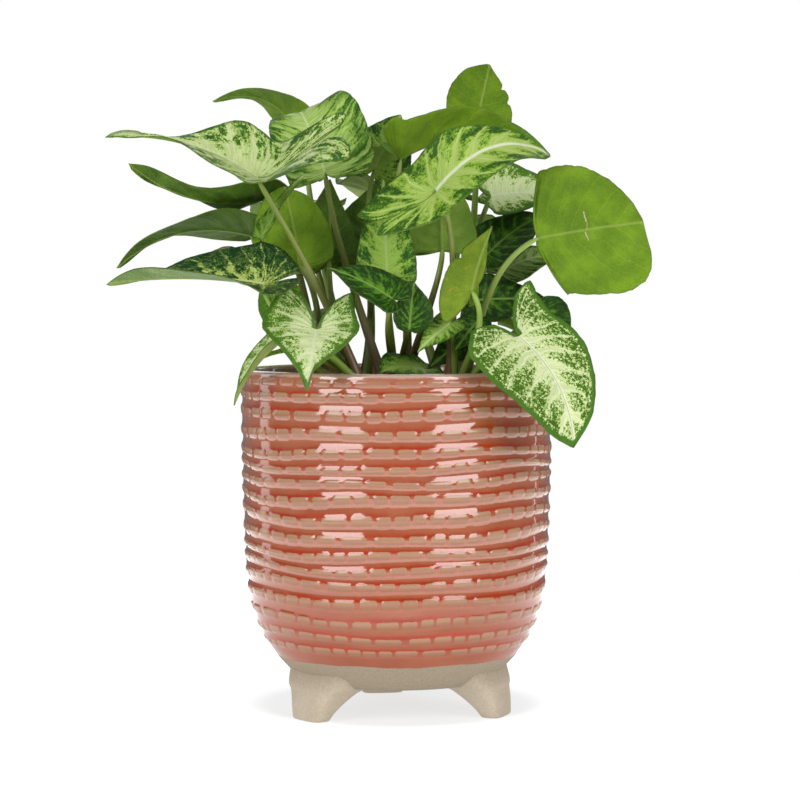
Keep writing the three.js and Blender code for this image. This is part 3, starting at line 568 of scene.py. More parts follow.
# Both halves as one closed skin: they share the midrib, every lateral of the lobe starts at the
# joint, and the rows end in the tip. Each face is the middle surface moved along its normals by
# half the thickness, and by the height of the midrib below.
def makeLeaf(number, leaf):
    name = f"leaf_{number:02d}"
    seed = leafForm["seedStep"] * number
    large = (both(leaf["width"], 1) + both(leaf["width"], -1)) / 2 >= leafForm["largeWidth"]
    share = detail * (1 if large else leafForm["smallShare"])
    rows = round(leafForm["rows"] * share) + 1
    columns = round(leafForm["columns"] * share) + 1
    t = np.linspace(0, 1, rows)[:, None]
    s = (np.linspace(0, 1, columns) ** leafForm["crowding"])[None, :]
    halves = [bladeHalf(leaf, side, t, s, seed) for side in (1, -1)]
    places, flats, veins = (np.stack(pair) for pair in zip(*halves))

    grid = np.arange(2 * rows * columns).reshape(2, rows, columns)
    ids = grid.copy()
    ids[1, :, 0] = ids[0, :, 0]
    ids[:, t[:, 0] <= leafForm["lobeShare"], 0] = ids[0, 0, 0]
    ids[:, -1, :] = ids[0, -1, 0]
    kept, merged = np.unique(ids.ravel(), return_inverse=True)
    middle = places.reshape(-1, 3)[kept]
    flat, vein = flats.reshape(-1, 3), veins.reshape(-1, 3)

    cells = gridTriangles(rows, columns)
    raw = np.concatenate([cells[:, ::-1], cells + rows * columns])
    raw = raw[isWhole(merged[raw])]
    faces = merged[raw]
    a, b, c = (middle[faces[:, k]] for k in range(3))
    push = np.cross(b - a, c - a)
    normals = np.zeros_like(middle)
    for k in range(3):
        np.add.at(normals, faces[:, k], push)
    normals = unit(normals)

    x, y = flat[kept, 0] * 10, np.abs(flat[kept, 1]) * 10
    length = bladeFrame(leaf)[-1]
    taper = np.clip(1 - x / length, 0, 1) ** 0.7 * min(1, length / 45)
    rib = np.exp(-(y / (leafForm["ribWidth"] * (0.25 + 0.75 * taper))) ** 2) * (x > -1)
    lanes = np.cos(math.pi * vein[kept, 0]) ** 2
    side = lanes ** 6 * (1 - vein[kept, 1]) ** 0.5 * np.minimum(1, y / 3)
    below = leafForm["ribHeight"] * rib * (0.2 + 0.8 * taper) + leafForm["veinHeight"] * side
    above = -leafForm["ribDip"] * rib * taper - leafForm["veinDip"] * side
    thick = leafForm["thickness"] / 2
    top = middle + normals * (thick + above)[:, None]
    bottom = middle - normals * (thick + below)[:, None]

    loops = [np.concatenate([grid[h, 0, :-1], grid[h, :, -1]]) for h in (0, 1)]
    starts = np.concatenate([loops[0][:-1], loops[1][1:]])
    ends = np.concatenate([loops[0][1:], loops[1][:-1]])
    count = len(middle)
    band = np.concatenate([sideBySide(starts, ends, last) for last in (ends, starts)])
    lower = np.array([[0, 0, 1], [0, 1, 1]]).repeat(len(starts), 0)
    rawAll = np.concatenate([raw, raw[:, ::-1], band])
    lowerAll = np.concatenate([np.zeros_like(raw), np.ones_like(raw), lower])
    facesAll = merged[rawAll] + lowerAll * count
    bandMark = np.arange(len(rawAll)) >= 2 * len(raw)
    whole = isWhole(facesAll)
    rawAll, lowerAll, facesAll, bandMark = (
        values[whole] for values in (rawAll, lowerAll, facesAll, bandMark))
    extras = {
        "flat": flat[rawAll].reshape(-1, 3),
        "vein": vein[rawAll].reshape(-1, 3),
        "under": (lowerAll * ~bandMark[:, None]).astype(float).ravel(),
    }
    paint = leafSkin(name, leaf)
    piece = placeMesh(name + "_blade", np.vstack([top, bottom]), facesAll, paint, extras, bandMark)
    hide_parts(name)


def leafSkin(name, leaf):
    look = {**looks["base"], **looks[leaf["look"]], **leaf["paint"]}
    paint, place, read = newPaint(name + "_skin")
    flat, vein, under = read("flat", "Vector"), read("vein", "Vector"), read("under", "Fac")
    along, across, seed = flat.split()
    lane, out, rim = vein.split()

    drift = flat.noise(1.2) - 0.5
    fine = (flat.noise(look["grainScale"], 3.0, 0.75) - 0.5) * 2
    bent = lane + drift * look["wander"]
    ladder = abs(bent.fraction() - 0.5) * 2
    line = (ladder - 0.93 + out * 0.03).rise(0.0, 0.05)
    wide, narrow = look["veinWidth"]
    band = (ladder - 1 + out.maths("MULTIPLY_ADD", out, narrow - wide, wide)).rise(0.0, 0.6)
    half = look["ribHalf"]
    rib = (abs(across) + fine * 0.015).fall(half * 0.4, half) * along.rise(-0.12, 0.05)
    grain = flat.node("CombineXYZ", None, {0: bent * look["blotchAcross"],
                                           1: out * look["blotchAlong"], 2: seed})
    hill = grain.noise(1.0, 3.0, 0.6) - 0.5

    root, middle, margin = look["levels"]
    level = (out * 2).least(1.0) * (middle - root) + (out * 2 - 1).most(0.0) * (margin - middle)
    level = level + root + band * look["laterals"] + rib * 0.2
    level = level + hill * (2.4 * look["blotch"]) + fine * look["speck"]
    if look["collect"]:
        beside = abs(rim - look["borderWidth"] - 0.5 + drift).fall(0.1, 0.5)
        level = level + beside * look["collect"]
    upper = level.ramp(list(zip((0.42, 0.48, 0.54, 0.66), look["colours"])))
    streaks = flat.node("CombineXYZ", None, {0: bent * 9, 1: out * 1.6, 2: seed})
    streaks = (streaks.noise(1.0, 2.0, 0.6) + fine * 0.12).rise(0.42, 0.62)
    upper = (streaks * look["streaks"]).mix(upper, look["colours"][1])
    if look["net"]:
        wires = abs(hill).fall(0.006, 0.03) * look["net"] * (1 - out * 0.5)
        upper = wires.mix(upper, look["vein"])
    upper = (line * look["veinShare"] * (1 - out * 0.5)).mix(upper, look["vein"])
    upper = (rib * look["ribShare"]).mix(upper, look["rib"])
    # Painted shade: a thin darker line down the groove of the midrib.
    if look["ribLine"]:
        groove = abs(across).fall(0.01, 0.03) * along.rise(0.0, 0.1)
        upper = (groove * look["ribLine"]).mix(upper, look["ribCrease"])
    if look["borderShare"]:
        edge = (rim + fine * 0.9).fall(look["borderWidth"] * 0.7, look["borderWidth"])
        upper = (edge * look["borderShare"]).mix(upper, look["border"])

    cells = flat.node("TexVoronoi", {"feature": "DISTANCE_TO_EDGE"},
                      {"Vector": flat, "Scale": 7.0}, "Distance")
    cloud = flat.noise(0.9, 3.0, 0.55).rise(0.35, 0.68)
    lower = cloud.mix(look["underShade"], look["under"])
    lower = (line * 0.3 * (1 - out * 0.4) + cells.fall(0.0, 0.16) * 0.16).mix(
        lower, look["underVein"])
    lower = (rib * look["underRib"]).mix(lower, look["ribUnder"])
    colour = under.mix(upper, lower)
    colour = (rim.fall(0.1, 0.4) * 0.5).mix(colour, look["dryEdge"])
    for x, y, dx, dy, wide, shade in look["scars"]:
        reach = ((along - x) * dx + (across - y) * dy) / (dx * dx + dy * dy)
        reach = reach.least(1.0).most(0.0)
        off = ((along - x - reach * dx) ** 2 + (across - y - reach * dy) ** 2) ** 0.5
        scar = (off + fine * 0.06).fall(wide * 0.5, wide)
        colour = (scar * 0.8).mix(colour, shade)
    if look["spots"]:
        spots = flat.noise(5.0, 2.0, 0.6).rise(0.66, 0.7)
        colour = (spots * 0.8).mix(colour, look["spots"])
    shine = under * 0.08 + look["gloss"] + fine * 0.05
    relief = cells.rise(0.0, 0.25) * 0.35 - line * 0.8 + fine * 0.12 + hill * 0.8
    endPaint(place, {"Base Color": colour, "Roughness": shine, "Specular IOR Level": 0.17,
                     "Normal": bumpy(place, relief, 0.45, 0.0006)},
             look["glow"], look["glowShare"])
    return paint


for number, leaf in enumerate(leaves, 1):
    makeLeaf(number, leaf)
print("leaves:", len(leaves))


# ---- the stalks ----

stalkForm = {
    "baseRadius": 2.3, "tipRadius": 1.15, "sides": 12, "steps": 40,
    "rootHeight": 136.8,  # where the stalks leave the stem
    "swing": 0.4, "meet": 0.34,  # how much of the way goes up at first, and away from the blade
    "sheath": 0.45, "sheathShare": 0.12,  # how much wider a stalk is where it clasps the stem
    "neck": 0.55, "neckShare": 0.06,  # how much thinner it gets at the very blade
    "standOff": 0.75,  # from the middle of the blade to the stalk's end
    "rootReach": 2,  # from the stem's middle to the stalk's root
    "outward": 0.35,  # how far it leans out at first, 1 being 45 degrees
    "ripeStep": 0.37,  # spreads fresh and ripe stalks among the leaves
    "stemRadius": 5.2, "stemSides": 20, "leanFrom": 136,
    # height and share of the stem's radius
    "stem": [(110.3, 0.8), (114, 1), (125, 1), (136, 1), (141, 0.85), (145, 0.5)],
}


# A stalk is a cubic arch from the crown to its blade: it rises, swings out and meets the blade
# from below. Its rings stand across it, thick at the foot, and close at both ends.
def stalkShell(leaf, crown):
    joint, along, _, face, _ = bladeFrame(leaf)
    away = unit(np.array(leaf.get("away", -0.8 * face - 0.3 * along - (0, 0, 0.5)), float))
    end = joint - face * stalkForm["standOff"]
    towards = unit(end[:2] - crown["at"])
    root = crown["at"] + 0.6 * np.array(crown["lean"]) + stalkForm["rootReach"] * towards
    root = np.append(root, stalkForm["rootHeight"])
    span = np.linalg.norm(end - root)
    lift = unit(np.append(stalkForm["outward"] * towards, 1))
    early = root + stalkForm["swing"] * span * lift
    late = end + stalkForm["meet"] * span * away
    u = np.linspace(0, 1, round(stalkForm["steps"] * detail) + 1)[:, None]
    line = ((1 - u) ** 3 * root + 3 * (1 - u) ** 2 * u * early + 3 * (1 - u) * u * u * late
            + u ** 3 * end)
    tangents = unit(np.gradient(line, axis=0))
    side = np.linalg.svd(tangents)[2][-1]  # the direction that lies least along the stalk
    first = unit(np.cross(tangents, side))
    second = np.cross(tangents, first)
    extra = stalkForm["baseRadius"] - stalkForm["tipRadius"]
    radius = stalkForm["tipRadius"] + extra * (1 - u) ** 1.5
    radius = radius * (1 + stalkForm["sheath"] * np.exp(-u / stalkForm["sheathShare"]))
    atNeck = np.clip(1 - (1 - u) / stalkForm["neckShare"], 0, 1)
    radius = radius * (1 - stalkForm["neck"] * atNeck ** 2)
    a = roundAngles(stalkForm["sides"])
    rings = (line[:, None] + radius[:, None] * (np.cos(a)[None, :, None] * first[:, None]
                                                + np.sin(a)[None, :, None] * second[:, None]))
    points, faces = skinRings(rings)
    share = np.concatenate([np.repeat(u[:, 0], stalkForm["sides"]), [0, 1]])
    return points, faces, share


def makeCrown(number, crown):
    heights, shares = np.array(stalkForm["stem"]).T[..., None]
    rings = ringPoints(stalkForm["stemRadius"] * shares, roundAngles(stalkForm["stemSides"]),
                       heights)
    bend = np.clip((heights - stalkForm["leanFrom"]) / (heights[-1] - stalkForm["leanFrom"]), 0, 1)
    rings[..., :2] += (bend * crown["lean"] + crown["at"])[:, None]
    shells = [skinRings(rings)]
    marks = [np.zeros_like(shells[0][0])]
    for k, leaf in enumerate(leaves):
        if leaf["crown"] == number:
            points, faces, share = stalkShell(leaf, crown)
            shells.append((points, faces))
            marks.append(sideBySide(share, k * stalkForm["ripeStep"] % 1, 0))
    points, faces = joinShells(shells)
    extras = {"stalk": np.concatenate(marks)[faces.ravel()]}
    piece = placeMesh(crown["name"] + "_stalks", points, faces, stalkPaint, extras)
    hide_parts(crown["name"])


def stalkSkin():
    paint, place, read = newPaint("stalk_skin")
    share, ripe, _ = read("stalk", "Vector").split()
    wobble = place.noise(140.0) - 0.5
    height = share + wobble * 0.25
    grown = height.ramp([(0.0, "6f4a38"), (0.2, "6f5a3a"), (0.45, "6f7332"), (0.8, "7c8c3a"),
                         (1.0, "8aa046")])
    fresh = height.ramp([(0.0, "6f5a38"), (0.15, "74843a"), (0.5, "82a03f"), (1.0, "8fac48")])
    colour = ripe.rise(0.62, 0.7).mix(grown, fresh)
    streak = place.node("Mapping", None, {"Vector": place, "Scale": (900, 900, 60)})
    fibre = streak.noise(1.0) - 0.5
    endPaint(place, {"Base Color": colour, "Roughness": fibre * 0.2 + 0.42,
                     "Normal": bumpy(place, fibre, 0.25, 0.0003)})
    return paint


stalkPaint = stalkSkin()
for number, crown in enumerate(crowns):
    makeCrown(number, crown)
print("crowns:", len(crowns))


# ---- the pot ----

potForm = {
    "profile": [(44, 15), (48.6, 20), (54.8, 27), (60.4, 36), (64.4, 46), (66.6, 58), (67.8, 76),
                (68.6, 98), (69.1, 124), (69.2, 146), (68.6, 151.6)],
    "rimRadius": 69.2, "rimHeight": 153.3, "wall": 5.2,
    "lipHeight": 1.7, "lipSet": 0.6, "lipSteps": 14,  # of the round on top; set in from outside
    "inside": [(0.2, 149), (0.5, 140), (0.7, 130), (1, 110), (2.2, 80), (3.5, 52), (9, 34),
               (19, 24)],  # how far in from below the lip, and the height
    "baseHeight": 15, "baseRings": (1, 24, 43), "footHeights": (17.5, 20, 23, 25.5),
    # how deep a ridge is; how far all drift up and down, and each one; how far each is off an
    # even spacing; and how much the depth changes
    "ridgeCount": 16, "ridgeBottom": 30, "ridgeTop": 146, "ridgeDepth": 0.56, "ridgeWander": 1.5,
    "ridgeOwn": 0.8, "ridgeUneven": 1.3, "grooveUneven": 0.4,
    "steps": (0.0, 0.14, 0.26, 0.33, 0.48, 0.62, 0.69, 0.79, 0.9),  # of a ridge, for its rings
    "lastStep": 16.7,  # the faint ridge below the rim is the last
    "slopeShare": 0.58,  # of a ridge's step that slopes back above its crest
    "dashes": 42,  # raised dashes on each ridge
    # from one dash to the next; half its length, half its width, and how much the length changes
    "dashPitch": 10.3, "dashLength": 4.3, "dashWidth": 1.7, "dashUneven": 0.5,
    "dashCorner": 1.3, "dashHeight": 0.34,  # its corners' radius, and how thick it is
    "dashMiddle": 0.47, "dashDrift": 0.035,  # of a ridge's step: its middle, and how far off
    "dashSeeds": (2.4, 4.1, 1.9),  # unevenness from dash to dash, row to row and of the middles
    "around": 520,
    "glazeEdge": 26.5,  # below it the clay is bare
}
ridgeStep = (potForm["ridgeTop"] - potForm["ridgeBottom"]) / potForm["ridgeCount"]


# Height of a crest at an angle round the pot, as in the part: unevenly spaced, it drifts up and
# down together with the others and strays a little from its neighbours.
def crestHeight(k, angle):
    form = potForm
    level = form["ridgeBottom"] + ridgeStep * (k + 0.5) + form["ridgeUneven"] * np.sin(5.1 * k)
    slow = np.sin(2 * angle + 1.3 + 0.19 * k)
    quick = 0.5 * np.sin(5 * angle + 0.4 + 0.44 * k)
    own = form["ridgeOwn"] * np.sin(3 * angle + 2.1 * k)
    fade = np.clip(0.2 * np.minimum(k + 2, form["ridgeCount"] + 1 - k), 0, 1)
    return level + fade * (form["ridgeWander"] * (slow + quick) / 1.5 + own)


def bowlRadius(height):
    line = throughPoints(potForm["profile"], np.linspace(0, 1, 400))
    return np.interp(height, line[:, 1], line[:, 0])


# The outside of the bowl as rings. phase counts ridges from below, each with its crest at 0.5:
# above the crest the wall slopes evenly back, then returns quickly to the next one, and the
# crest carries a row of raised dashes. It gives the places and, for the glaze, how far along the
# dashes and up the ridges each is.
def ridgedWall():
    form = potForm
    phase = (np.arange(form["ridgeCount"] + 1)[:, None] + form["steps"]).ravel()
    phase = np.append(phase[phase < form["lastStep"]], form["lastStep"])[:, None]
    angle = roundAngles(round(form["around"] * detail))
    below = np.floor(phase - 0.5)
    share = phase - 0.5 - below
    height = crestHeight(below, angle) * (1 - share) + crestHeight(below + 1, angle) * share
    slope = form["slopeShare"]
    turn = np.where(share < slope, 0.5 * share / slope, 0.5 + 0.5 * (share - slope) / (1 - slope))
    straight = 4 * np.abs(turn - 0.5) - 1
    groove = 1 - 0.85 * straight - 0.15 * np.cos(2 * math.pi * turn)
    groove = groove * (1 + form["grooveUneven"] * np.sin(2.7 * below + 1.2 * np.sin(2 * angle)))
    ridge = 0.5 * form["ridgeDepth"] * (1 - groove)
    ring = np.floor(phase)
    uneven = 0.35 * np.sin(3 * angle + 2.1 * ring) + 0.25 * np.sin(7 * angle + 1.3 * ring)
    dash = form["dashes"] * angle / (2 * math.pi) + 0.37 * ring + uneven
    byDash, byRow, ofMiddle = form["dashSeeds"]
    order = byDash * np.floor(dash) + byRow * ring
    half = form["dashLength"] + form["dashUneven"] * np.sin(order)
    middle = form["dashMiddle"] + form["dashDrift"] * np.sin(ofMiddle * order)
    corner = form["dashCorner"]
    u = np.abs(dash % 1 - 0.5) * form["dashPitch"] - half + corner
    v = np.abs(phase % 1 - middle) * ridgeStep - form["dashWidth"] + corner
    inside = np.clip(corner - np.hypot(np.maximum(u, 0), np.maximum(v, 0)), 0, 0.7) / 0.7
    raised = form["dashHeight"] * inside * (2 - inside)
    ends = np.clip(np.minimum(3 * phase, 4 * (form["lastStep"] - phase)), 0, 1)
    radius = bowlRadius(height) + (ridge + raised - 0.15) * ends
    return ringPoints(radius, angle, height), sideBySide(dash, phase, height)


# Even rings through rows of radius and height. To the glaze they are at the foot of a ridge,
# the first one below and the last one at the rim.
def plainRings(rows, around):
    radius, height = np.array(rows, float).T[..., None]
    points = ringPoints(radius, roundAngles(around), height)
    return points, sideBySide(0.5, np.where(height > 140, 16.0, 0.0), points[..., 2])


def makePot():
    form = potForm
    around = round(form["around"] * detail)
    inner = form["rimRadius"] - form["wall"]
    outer, high = form["rimRadius"] - form["lipSet"], form["lipHeight"]
    foot = [(radius, form["baseHeight"]) for radius in form["baseRings"]]
    foot += [(bowlRadius(height), height) for height in form["footHeights"]]
    a = np.linspace(0, math.pi, form["lipSteps"])
    middle, half = (outer + inner) / 2, (outer - inner) / 2
    lip = [(bowlRadius(151), 151)]
    lip += list(zip(middle + half * np.cos(a), form["rimHeight"] - high + high * np.sin(a)))
    inside = [(inner - back, height) for back, height in form["inside"]]
    inside.append((1, inside[-1][1]))
    parts = [plainRings(foot, around), ridgedWall(), plainRings(lip + inside, around)]
    points, glaze = (np.concatenate([part[k] for part in parts]) for k in (0, 1))
    skin, faces = skinRings(points)
    glaze = np.vstack([glaze.reshape(-1, 3), glaze[0, :1], glaze[-1, :1]])
    values = glaze[faces]
    turns = np.round((values[..., 0] - values[:, :1, 0]) / form["dashes"])
    values[..., 0] -= form["dashes"] * turns
    piece = placeMesh("pot_bowl", skin, faces, glazePaint(), {"glaze": values.reshape(-1, 3)})
    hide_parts("pot")


footForm = {
    "angles": (-142, -22, 98),  # round the pot's axis from +x
    "squareness": 0.6,  # power of the section's outline: 1 is an ellipse, 0 a rectangle
    # height, distance of the middle from the axis, half width, half depth
    "sections": [(0, 47.5, 8.9, 4.5), (0.7, 47.4, 9.7, 5.2), (4, 46, 11, 6.5), (8, 43.5, 13, 8.5),
                 (12, 40.5, 16, 10.5), (15, 38, 19.5, 12.5), (22, 35, 22, 13)],
    "around": 96, "rings": 40,
}


# A foot is a wedge with softly rounded edges that narrows and swings outward on its way down.
def makeFeet():
    levels = throughPoints(footForm["sections"], np.linspace(0, 1, round(
        footForm["rings"] * detail)))
    height, radius, width, depth = (levels[:, k, None] for k in range(4))
    height = np.maximum(height, 0)
    a = roundAngles(round(footForm["around"] * detail))
    power = footForm["squareness"]
    out = radius + depth * np.sign(np.cos(a)) * np.abs(np.cos(a)) ** power
    side = width * np.sign(np.sin(a)) * np.abs(np.sin(a)) ** power
    shells = []
    for angle in footForm["angles"]:
        c, s = math.cos(math.radians(angle)), math.sin(math.radians(angle))
        shells.append(skinRings(sideBySide(out * c - side * s, out * s + side * c, height)))
    points, faces = joinShells(shells)
    piece = placeMesh("pot_feet", points, faces, clayPaint())


# Glaze and clay colours. Some of them paint light: the dashes' lighter top and darker foot are a
# painted highlight and painted shade, the low colour paints shade towards the bottom of the bowl,
# the fringe colour is partly painted light under each row, and the bowl's clay colours, darker than
# the feet's, paint shade on its underside.
potColours = {
    "coral": "a8330f", "deep": "93290a", "field": "a35d40", "fieldShade": "965034",
    "fringe": "a76c50", "gap": "9f4f33", "dash": "9a7054", "dashTop": "ab866a",
    "dashFoot": "95694f", "lip": "b59484", "rim": "a4644b", "low": "7c3417", "clay": "9c8e7a",
    "clayShade": "8e806c", "foot": "bdaf9c", "footShade": "ad9f8a",
}


# The glaze is thin and beige on the dashes, salmon between and below them, and coral where it has
# gathered just above a row, which fades on the way up. Painted light is laid over it: a lighter top
# and darker foot on each dash, a lighter fringe under each row, and darker colour towards the
# bottom of the bowl.
def glazePaint():
    paint, place, read = newPaint("coral_glaze")
    form, tint = potForm, potColours
    dash, phase, height = read("glaze", "Vector").split()
    drift = place.noise(60.0) - 0.5
    fine = place.noise(800.0, 3.0, 0.7) - 0.5
    step = phase.fraction()
    byDash, byRow, ofMiddle = form["dashSeeds"]
    ring = phase.maths("FLOOR", phase)
    order = dash.maths("FLOOR", dash) * byDash + ring * byRow
    corner = form["dashCorner"]
    half = order.sine() * form["dashUneven"] + form["dashLength"] - corner
    middle = (order * ofMiddle).sine() * form["dashDrift"] + form["dashMiddle"]
    u = (abs(dash.fraction() - 0.5) * form["dashPitch"] - half).most(0.0)
    v = (abs(step - middle) * ridgeStep - form["dashWidth"] + corner).most(0.0)
    far = (u * u + v * v) ** 0.5 - corner + fine * 0.5
    onDash = far.fall(-0.25, 0.15)
    patch = place.noise(30.0, 3.0, 0.6).rise(0.3, 0.7)
    step = step + drift * 0.25 + fine * 0.2
    low = height.fall(26.0, 84.0)
    coral = patch.mix(tint["coral"], tint["deep"])
    field = patch.mix(tint["fieldShade"], tint["field"])
    inRow = step.rise(0.2, 0.28) * step.fall(0.62, 0.7)
    # The fringe below each row is partly the glaze's own lighter salmon and partly painted light
    # that lifts the shade under the row.
    colour = (step.rise(0.0, 0.22) * step.fall(0.4, 0.5) * 0.7).mix(field, tint["fringe"])
    colour = (inRow * 0.7).mix(colour, tint["gap"])
    above = (step - 0.6).rise(0.0, 0.07) * (step - 0.72).fall(0.0, 0.26)
    strength = (place.noise(40.0, 4.0, 0.65) - 0.5) * 3.8 + 0.85 + low * 0.3
    strength = strength + (ring * 2.3).sine() * 0.2
    # Painted shade: the glaze is darkened towards the bottom of the bowl with the low colour, and
    # the dashes further down are darkened as well.
    colour = (low * 0.3).mix(colour, tint["low"])
    colour = (above * strength.least(1.0).most(0.1)).mix(colour, coral)
    colour = ((fine + 0.5).rise(0.45, 0.75) * 0.25).mix(colour, tint["coral"])
    # Each dash is painted lighter at its top edge and darker at its foot: a painted highlight above
    # and painted shade below.
    beige = (phase.fraction() + fine * 0.2).ramp([
        (0.3, tint["dashFoot"]), (0.42, tint["dash"]), (0.6, tint["dashTop"])])
    colour = (onDash * 0.92).mix(colour, (low * 0.2).mix(beige, tint["low"]))
    edge = height + drift * 1.6 + fine
    colour = (edge.rise(148.4, 150.4) * 0.8).mix(colour, tint["rim"])
    colour = edge.rise(151.2, 152.0).mix(colour, tint["lip"])
    wavy = (place.noise(45.0) - 0.5) * 3.2
    bare = (height + wavy).fall(form["glazeEdge"] - 0.3, form["glazeEdge"] + 0.3)
    # The bare clay of the bowl takes the darker clay colours: painted shade on the bowl's
    # underside.
    grit = place.noise(900.0, 3.0, 0.7)
    clay = grit.rise(0.3, 0.7).mix(tint["clayShade"], tint["clay"])
    colour = bare.mix(colour, clay)
    relief = (fine * 0.3 + onDash * 0.6) * (1 - bare) + grit * bare * 0.5
    shine = bare * 0.6 + onDash * (1 - bare) * 0.16 + 0.1 + fine * 0.05
    coat = (1 - bare) * (1 - onDash * 0.6) * (1 - low * 0.9)
    endPaint(place, {"Base Color": colour, "Roughness": shine, "Specular IOR Level": 0.3,
                     "Coat Weight": coat, "Coat Roughness": 0.05, "Coat IOR": 1.68,
                     "Normal": bumpy(place, relief, 0.15, 0.0005)})
    return paint


def clayPaint():
    tint = potColours
    paint, place, _ = newPaint("bare_clay")
    grit = place.noise(900.0, 3.0, 0.7)
    cloud = place.noise(70.0)
    share = (grit * 0.6 + cloud * 0.4).rise(0.35, 0.65)
    low = share.mix(tint["footShade"], tint["foot"])
    high = grit.rise(0.3, 0.7).mix(tint["clayShade"], tint["clay"])
    height = place.split()[2] + (cloud - 0.5) * 0.01
    # Painted shade: the feet are lighter near the floor and turn to the darker clay colour of the
    # bowl from 10 to 26 mm up, where the bowl shades them.
    colour = height.rise(0.01, 0.026).mix(low, high)
    endPaint(place, {"Base Color": colour, "Roughness": grit * 0.1 + 0.7,
                     "Normal": bumpy(place, grit, 0.25, 0.0005)})
    return paint


makePot()
makeFeet()
print("pot: bowl and feet")


# ---- the soil ----

soilForm = {
    "radius": 63.3, "top": 132, "crown": 3, "rough": 0.9, "around": 150, "rings": 52,
    "side": [(0.6, 30), (43, 30), (54, 36), (60, 60), (62.4, 112), (62.8, 126)],
    "crumbs": 420, "crumbSize": (0.7, 2.4), "crumbReach": 60, "crumbSeed": 21,
}


# A low mound, highest on the axis, with an uneven top, a side and a flat underside.
def soilTop(x, y):
    share = np.clip(np.hypot(x, y) / soilForm["radius"], 0, 1)
    bumps = hills(sideBySide(x, y), 7.0, 5) + 0.6 * hills(sideBySide(x, y), 2.6, 6)
    return soilForm["top"] + soilForm["crown"] * (1 - share ** 2) - 0.6 + (
        soilForm["rough"] * 0.6 * bumps * (1 - share ** 6))


def makeSoil():
    around, rings = (round(soilForm[key] * detail) for key in ("around", "rings"))
    top = ringPoints(np.linspace(soilForm["radius"] - 0.6, 0.6, rings)[:, None],
                     roundAngles(around), 0)
    top[..., 2] = soilTop(top[..., 0], top[..., 1])
    below, _ = plainRings(soilForm["side"], around)
    ground = skinRings(np.concatenate([below, top]))

    draw = np.random.default_rng(soilForm["crumbSeed"])
    count = round(soilForm["crumbs"] * detail)
    g = (1 + 5 ** 0.5) / 2
    ball = unit(np.array([(-1, g, 0), (1, g, 0), (-1, -g, 0), (1, -g, 0), (0, -1, g), (0, 1, g),
                          (0, -1, -g), (0, 1, -g), (g, 0, -1), (g, 0, 1), (-g, 0, -1), (-g, 0, 1)]))
    sides = np.array([(0, 11, 5), (0, 5, 1), (0, 1, 7), (0, 7, 10), (0, 10, 11), (1, 5, 9),
                      (5, 11, 4), (11, 10, 2), (10, 7, 6), (7, 1, 8), (3, 9, 4), (3, 4, 2),
                      (3, 2, 6), (3, 6, 8), (3, 8, 9), (4, 9, 5), (2, 4, 11), (6, 2, 10),
                      (8, 6, 7), (9, 8, 1)])
    away = soilForm["crumbReach"] * np.sqrt(draw.uniform(0, 1, count))
    turn = draw.uniform(0, 2 * math.pi, count)
    cx, cy = away * np.cos(turn), away * np.sin(turn)
    size = draw.uniform(*soilForm["crumbSize"], count)
    centre = sideBySide(cx, cy, soilTop(cx, cy) + 0.25 * size)
    knobs = ball[None] * draw.uniform(0.65, 1.2, (count, 12, 1)) * draw.uniform(
        0.6, 1.1, (count, 1, 3)) * size[:, None, None]
    crumbs = (knobs + centre[:, None]).reshape(-1, 3)
    crumbFaces = (sides[None] + 12 * np.arange(count)[:, None, None]).reshape(-1, 3)
    points, faces = joinShells([ground, (crumbs, crumbFaces)])
    piece = placeMesh("soil_mound", points, faces, soilPaint())
    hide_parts("soil")


def soilPaint():
    paint, place, _ = newPaint("potting_soil")
    lumps = place.noise(260.0, 4.0, 0.7)
    colour = lumps.ramp([(0.3, "1c130d"), (0.5, "35251a"), (0.62, "4d3826"), (0.75, "6b5238")])
    endPaint(place, {"Base Color": colour, "Roughness": 0.95,
                     "Normal": bumpy(place, lumps, 0.6, 0.0012)})
    return paint


makeSoil()
print("soil: mound and crumbs")


# ---- floor, light and camera ----

studio = {
    "floor": "f6f6f5",
    "floorRadius": 0.5, "floorRings": 12, "floorAround": 96,
    # the floor shines by itself: at the pot, far off, from and to how far in m, and how strongly
    "glow": ("bcc2c6", "ffffff", 0.07, 0.24, 0.95),
    # a soft shade under the pot: floor, glow, from and to how far, how far behind the axis, in m
    "shade": ("8a8a8a", "dedfe0", 0.056, 0.072, 0.015),
    "world": 0.12,  # light from all round
    "mirrored": 0.17,  # what the glaze shows of it
    "backdrop": 1.0,  # what the camera sees of it
    # azimuth from the front, elevation, distance in m, width, height, watts
    "boxes": [(-41, 21, 1.3, 0.75, 0.8, 9.8), (44, 21, 1.3, 0.75, 0.8, 9.8),
              (-112, 12, 1.0, 0.2, 0.7, 0.6), (124, 12, 1.0, 0.03, 0.7, 0.12),
              (180, 34, 1.5, 1.6, 0.9, 6.0)],
    "top": (0.15, 1.5, 1.0, 4.0),  # forward, height, size in m, watts
    "aim": 0.12,  # height in m that every light is turned to
}

camera = {"distance": 1.170, "height": 0.198, "pitch": 2.886, "lens": 117.77, "side": 0.0044}


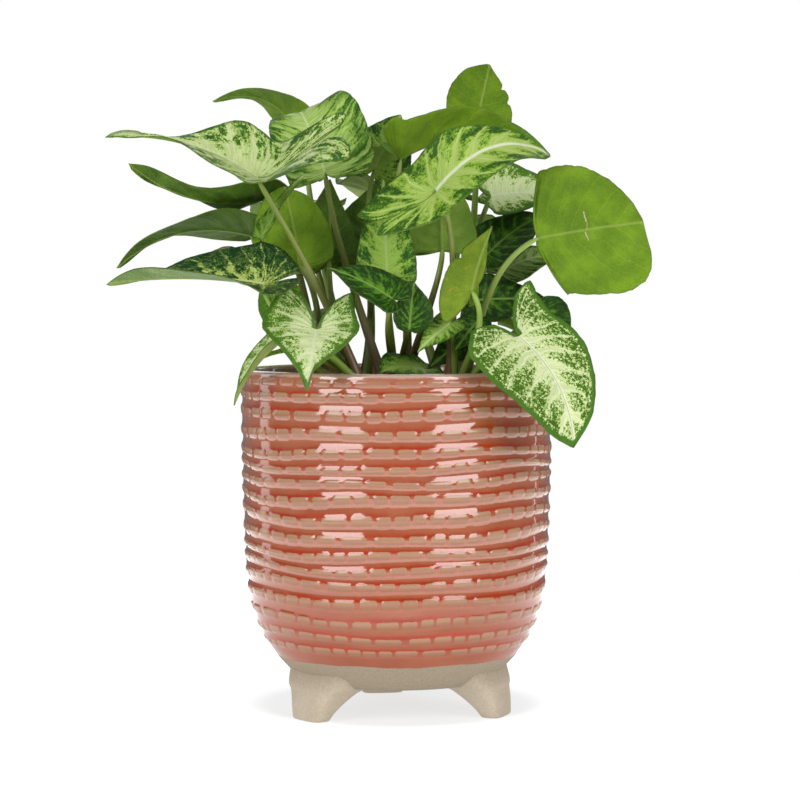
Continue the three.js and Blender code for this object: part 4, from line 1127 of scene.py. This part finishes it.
# A round floor. It gets brighter towards its edge, where it ends in the white all round.
def makeStage():
    rings, around = studio["floorRings"], studio["floorAround"]
    radius = np.linspace(0.00001, studio["floorRadius"], rings)[:, None]
    points = ringPoints(radius, roundAngles(around), 0)
    mesh = bpy.data.meshes.new("studio_floor")
    faces = gridTriangles(rings, around, closed=True)[:, ::-1]
    mesh.from_pydata(points.reshape(-1, 3).tolist(), [], faces.tolist())
    paint, place, _ = newPaint("pale_floor")
    close, away, near, far, strength = studio["glow"]
    x, y, _ = place.split()
    share = ((x * x + y * y) ** 0.5).rise(near, far)
    shaded, dim, start, end, behind = studio["shade"]
    x, y = x - float(potAxis[0]), y - float(potAxis[1]) - behind
    bright = ((x * x + y * y) ** 0.5).rise(start, end)
    endPaint(place, {"Base Color": bright.mix(shaded, studio["floor"]), "Roughness": 0.9,
                     "Emission Color": bright.mix(dim, share.mix(close, away)),
                     "Emission Strength": strength})
    mesh.materials.append(paint)
    floor = addObject("studio_floor", mesh)


def aim(piece, target):
    way = np.array(target) - np.array(piece.location)
    flatWay = math.hypot(way[0], way[1])
    piece.rotation_euler = (math.pi / 2 + math.atan2(way[2], flatWay), 0,
                            math.atan2(way[1], way[0]) - math.pi / 2)


def makeLight(name, place, width, height, watts):
    light = bpy.data.lights.new(name, "AREA")
    light.shape = "RECTANGLE"
    light.size, light.size_y, light.energy = width, height, watts
    lamp = addObject(name, light)
    lamp.location = place
    aim(lamp, potAxis + (0, 0, studio["aim"]))


def makeWorld():
    world = bpy.data.worlds.new("studio_air")
    bpy.context.scene.world = world
    world.use_nodes = True
    tree = world.node_tree
    tree.nodes.clear()
    seen = addNode(tree, "LightPath", None, None, "Is Camera Ray")
    strength = seen * (studio["backdrop"] - studio["world"]) + studio["world"]
    strength = strength + seen["Is Glossy Ray"] * (studio["mirrored"] - studio["world"])
    air = addNode(tree, "Background", None, {"Color": "ffffff", "Strength": strength}, 0)
    end = tree.nodes.new("ShaderNodeOutputWorld")
    tree.links.new(air.socket, end.inputs["Surface"])


def makeCamera():
    view = bpy.data.cameras.new("camera")
    view.lens, view.sensor_width, view.shift_x = camera["lens"], 36.0, camera["side"]
    eye = addObject("camera", view)
    eye.location = potAxis + (0, -camera["distance"], camera["height"])
    eye.rotation_euler = (math.radians(90 - camera["pitch"]), 0, 0)
    bpy.context.scene.camera = eye


makeStage()
for k, (azimuth, elevation, distance, width, height, watts) in enumerate(studio["boxes"]):
    a, e = math.radians(azimuth), math.radians(elevation)
    out = distance * math.cos(e)
    place = potAxis + (out * math.sin(a), -out * math.cos(a),
                       studio["aim"] + distance * math.sin(e))
    makeLight(f"softbox_{k}", place, width, height, watts)
forward, height, size, watts = studio["top"]
makeLight("top_light", potAxis + (0, -forward, height), size, size, watts)
makeWorld()
makeCamera()
bpy.context.scene.view_settings.view_transform = "Standard"
print("stage, lights and camera")
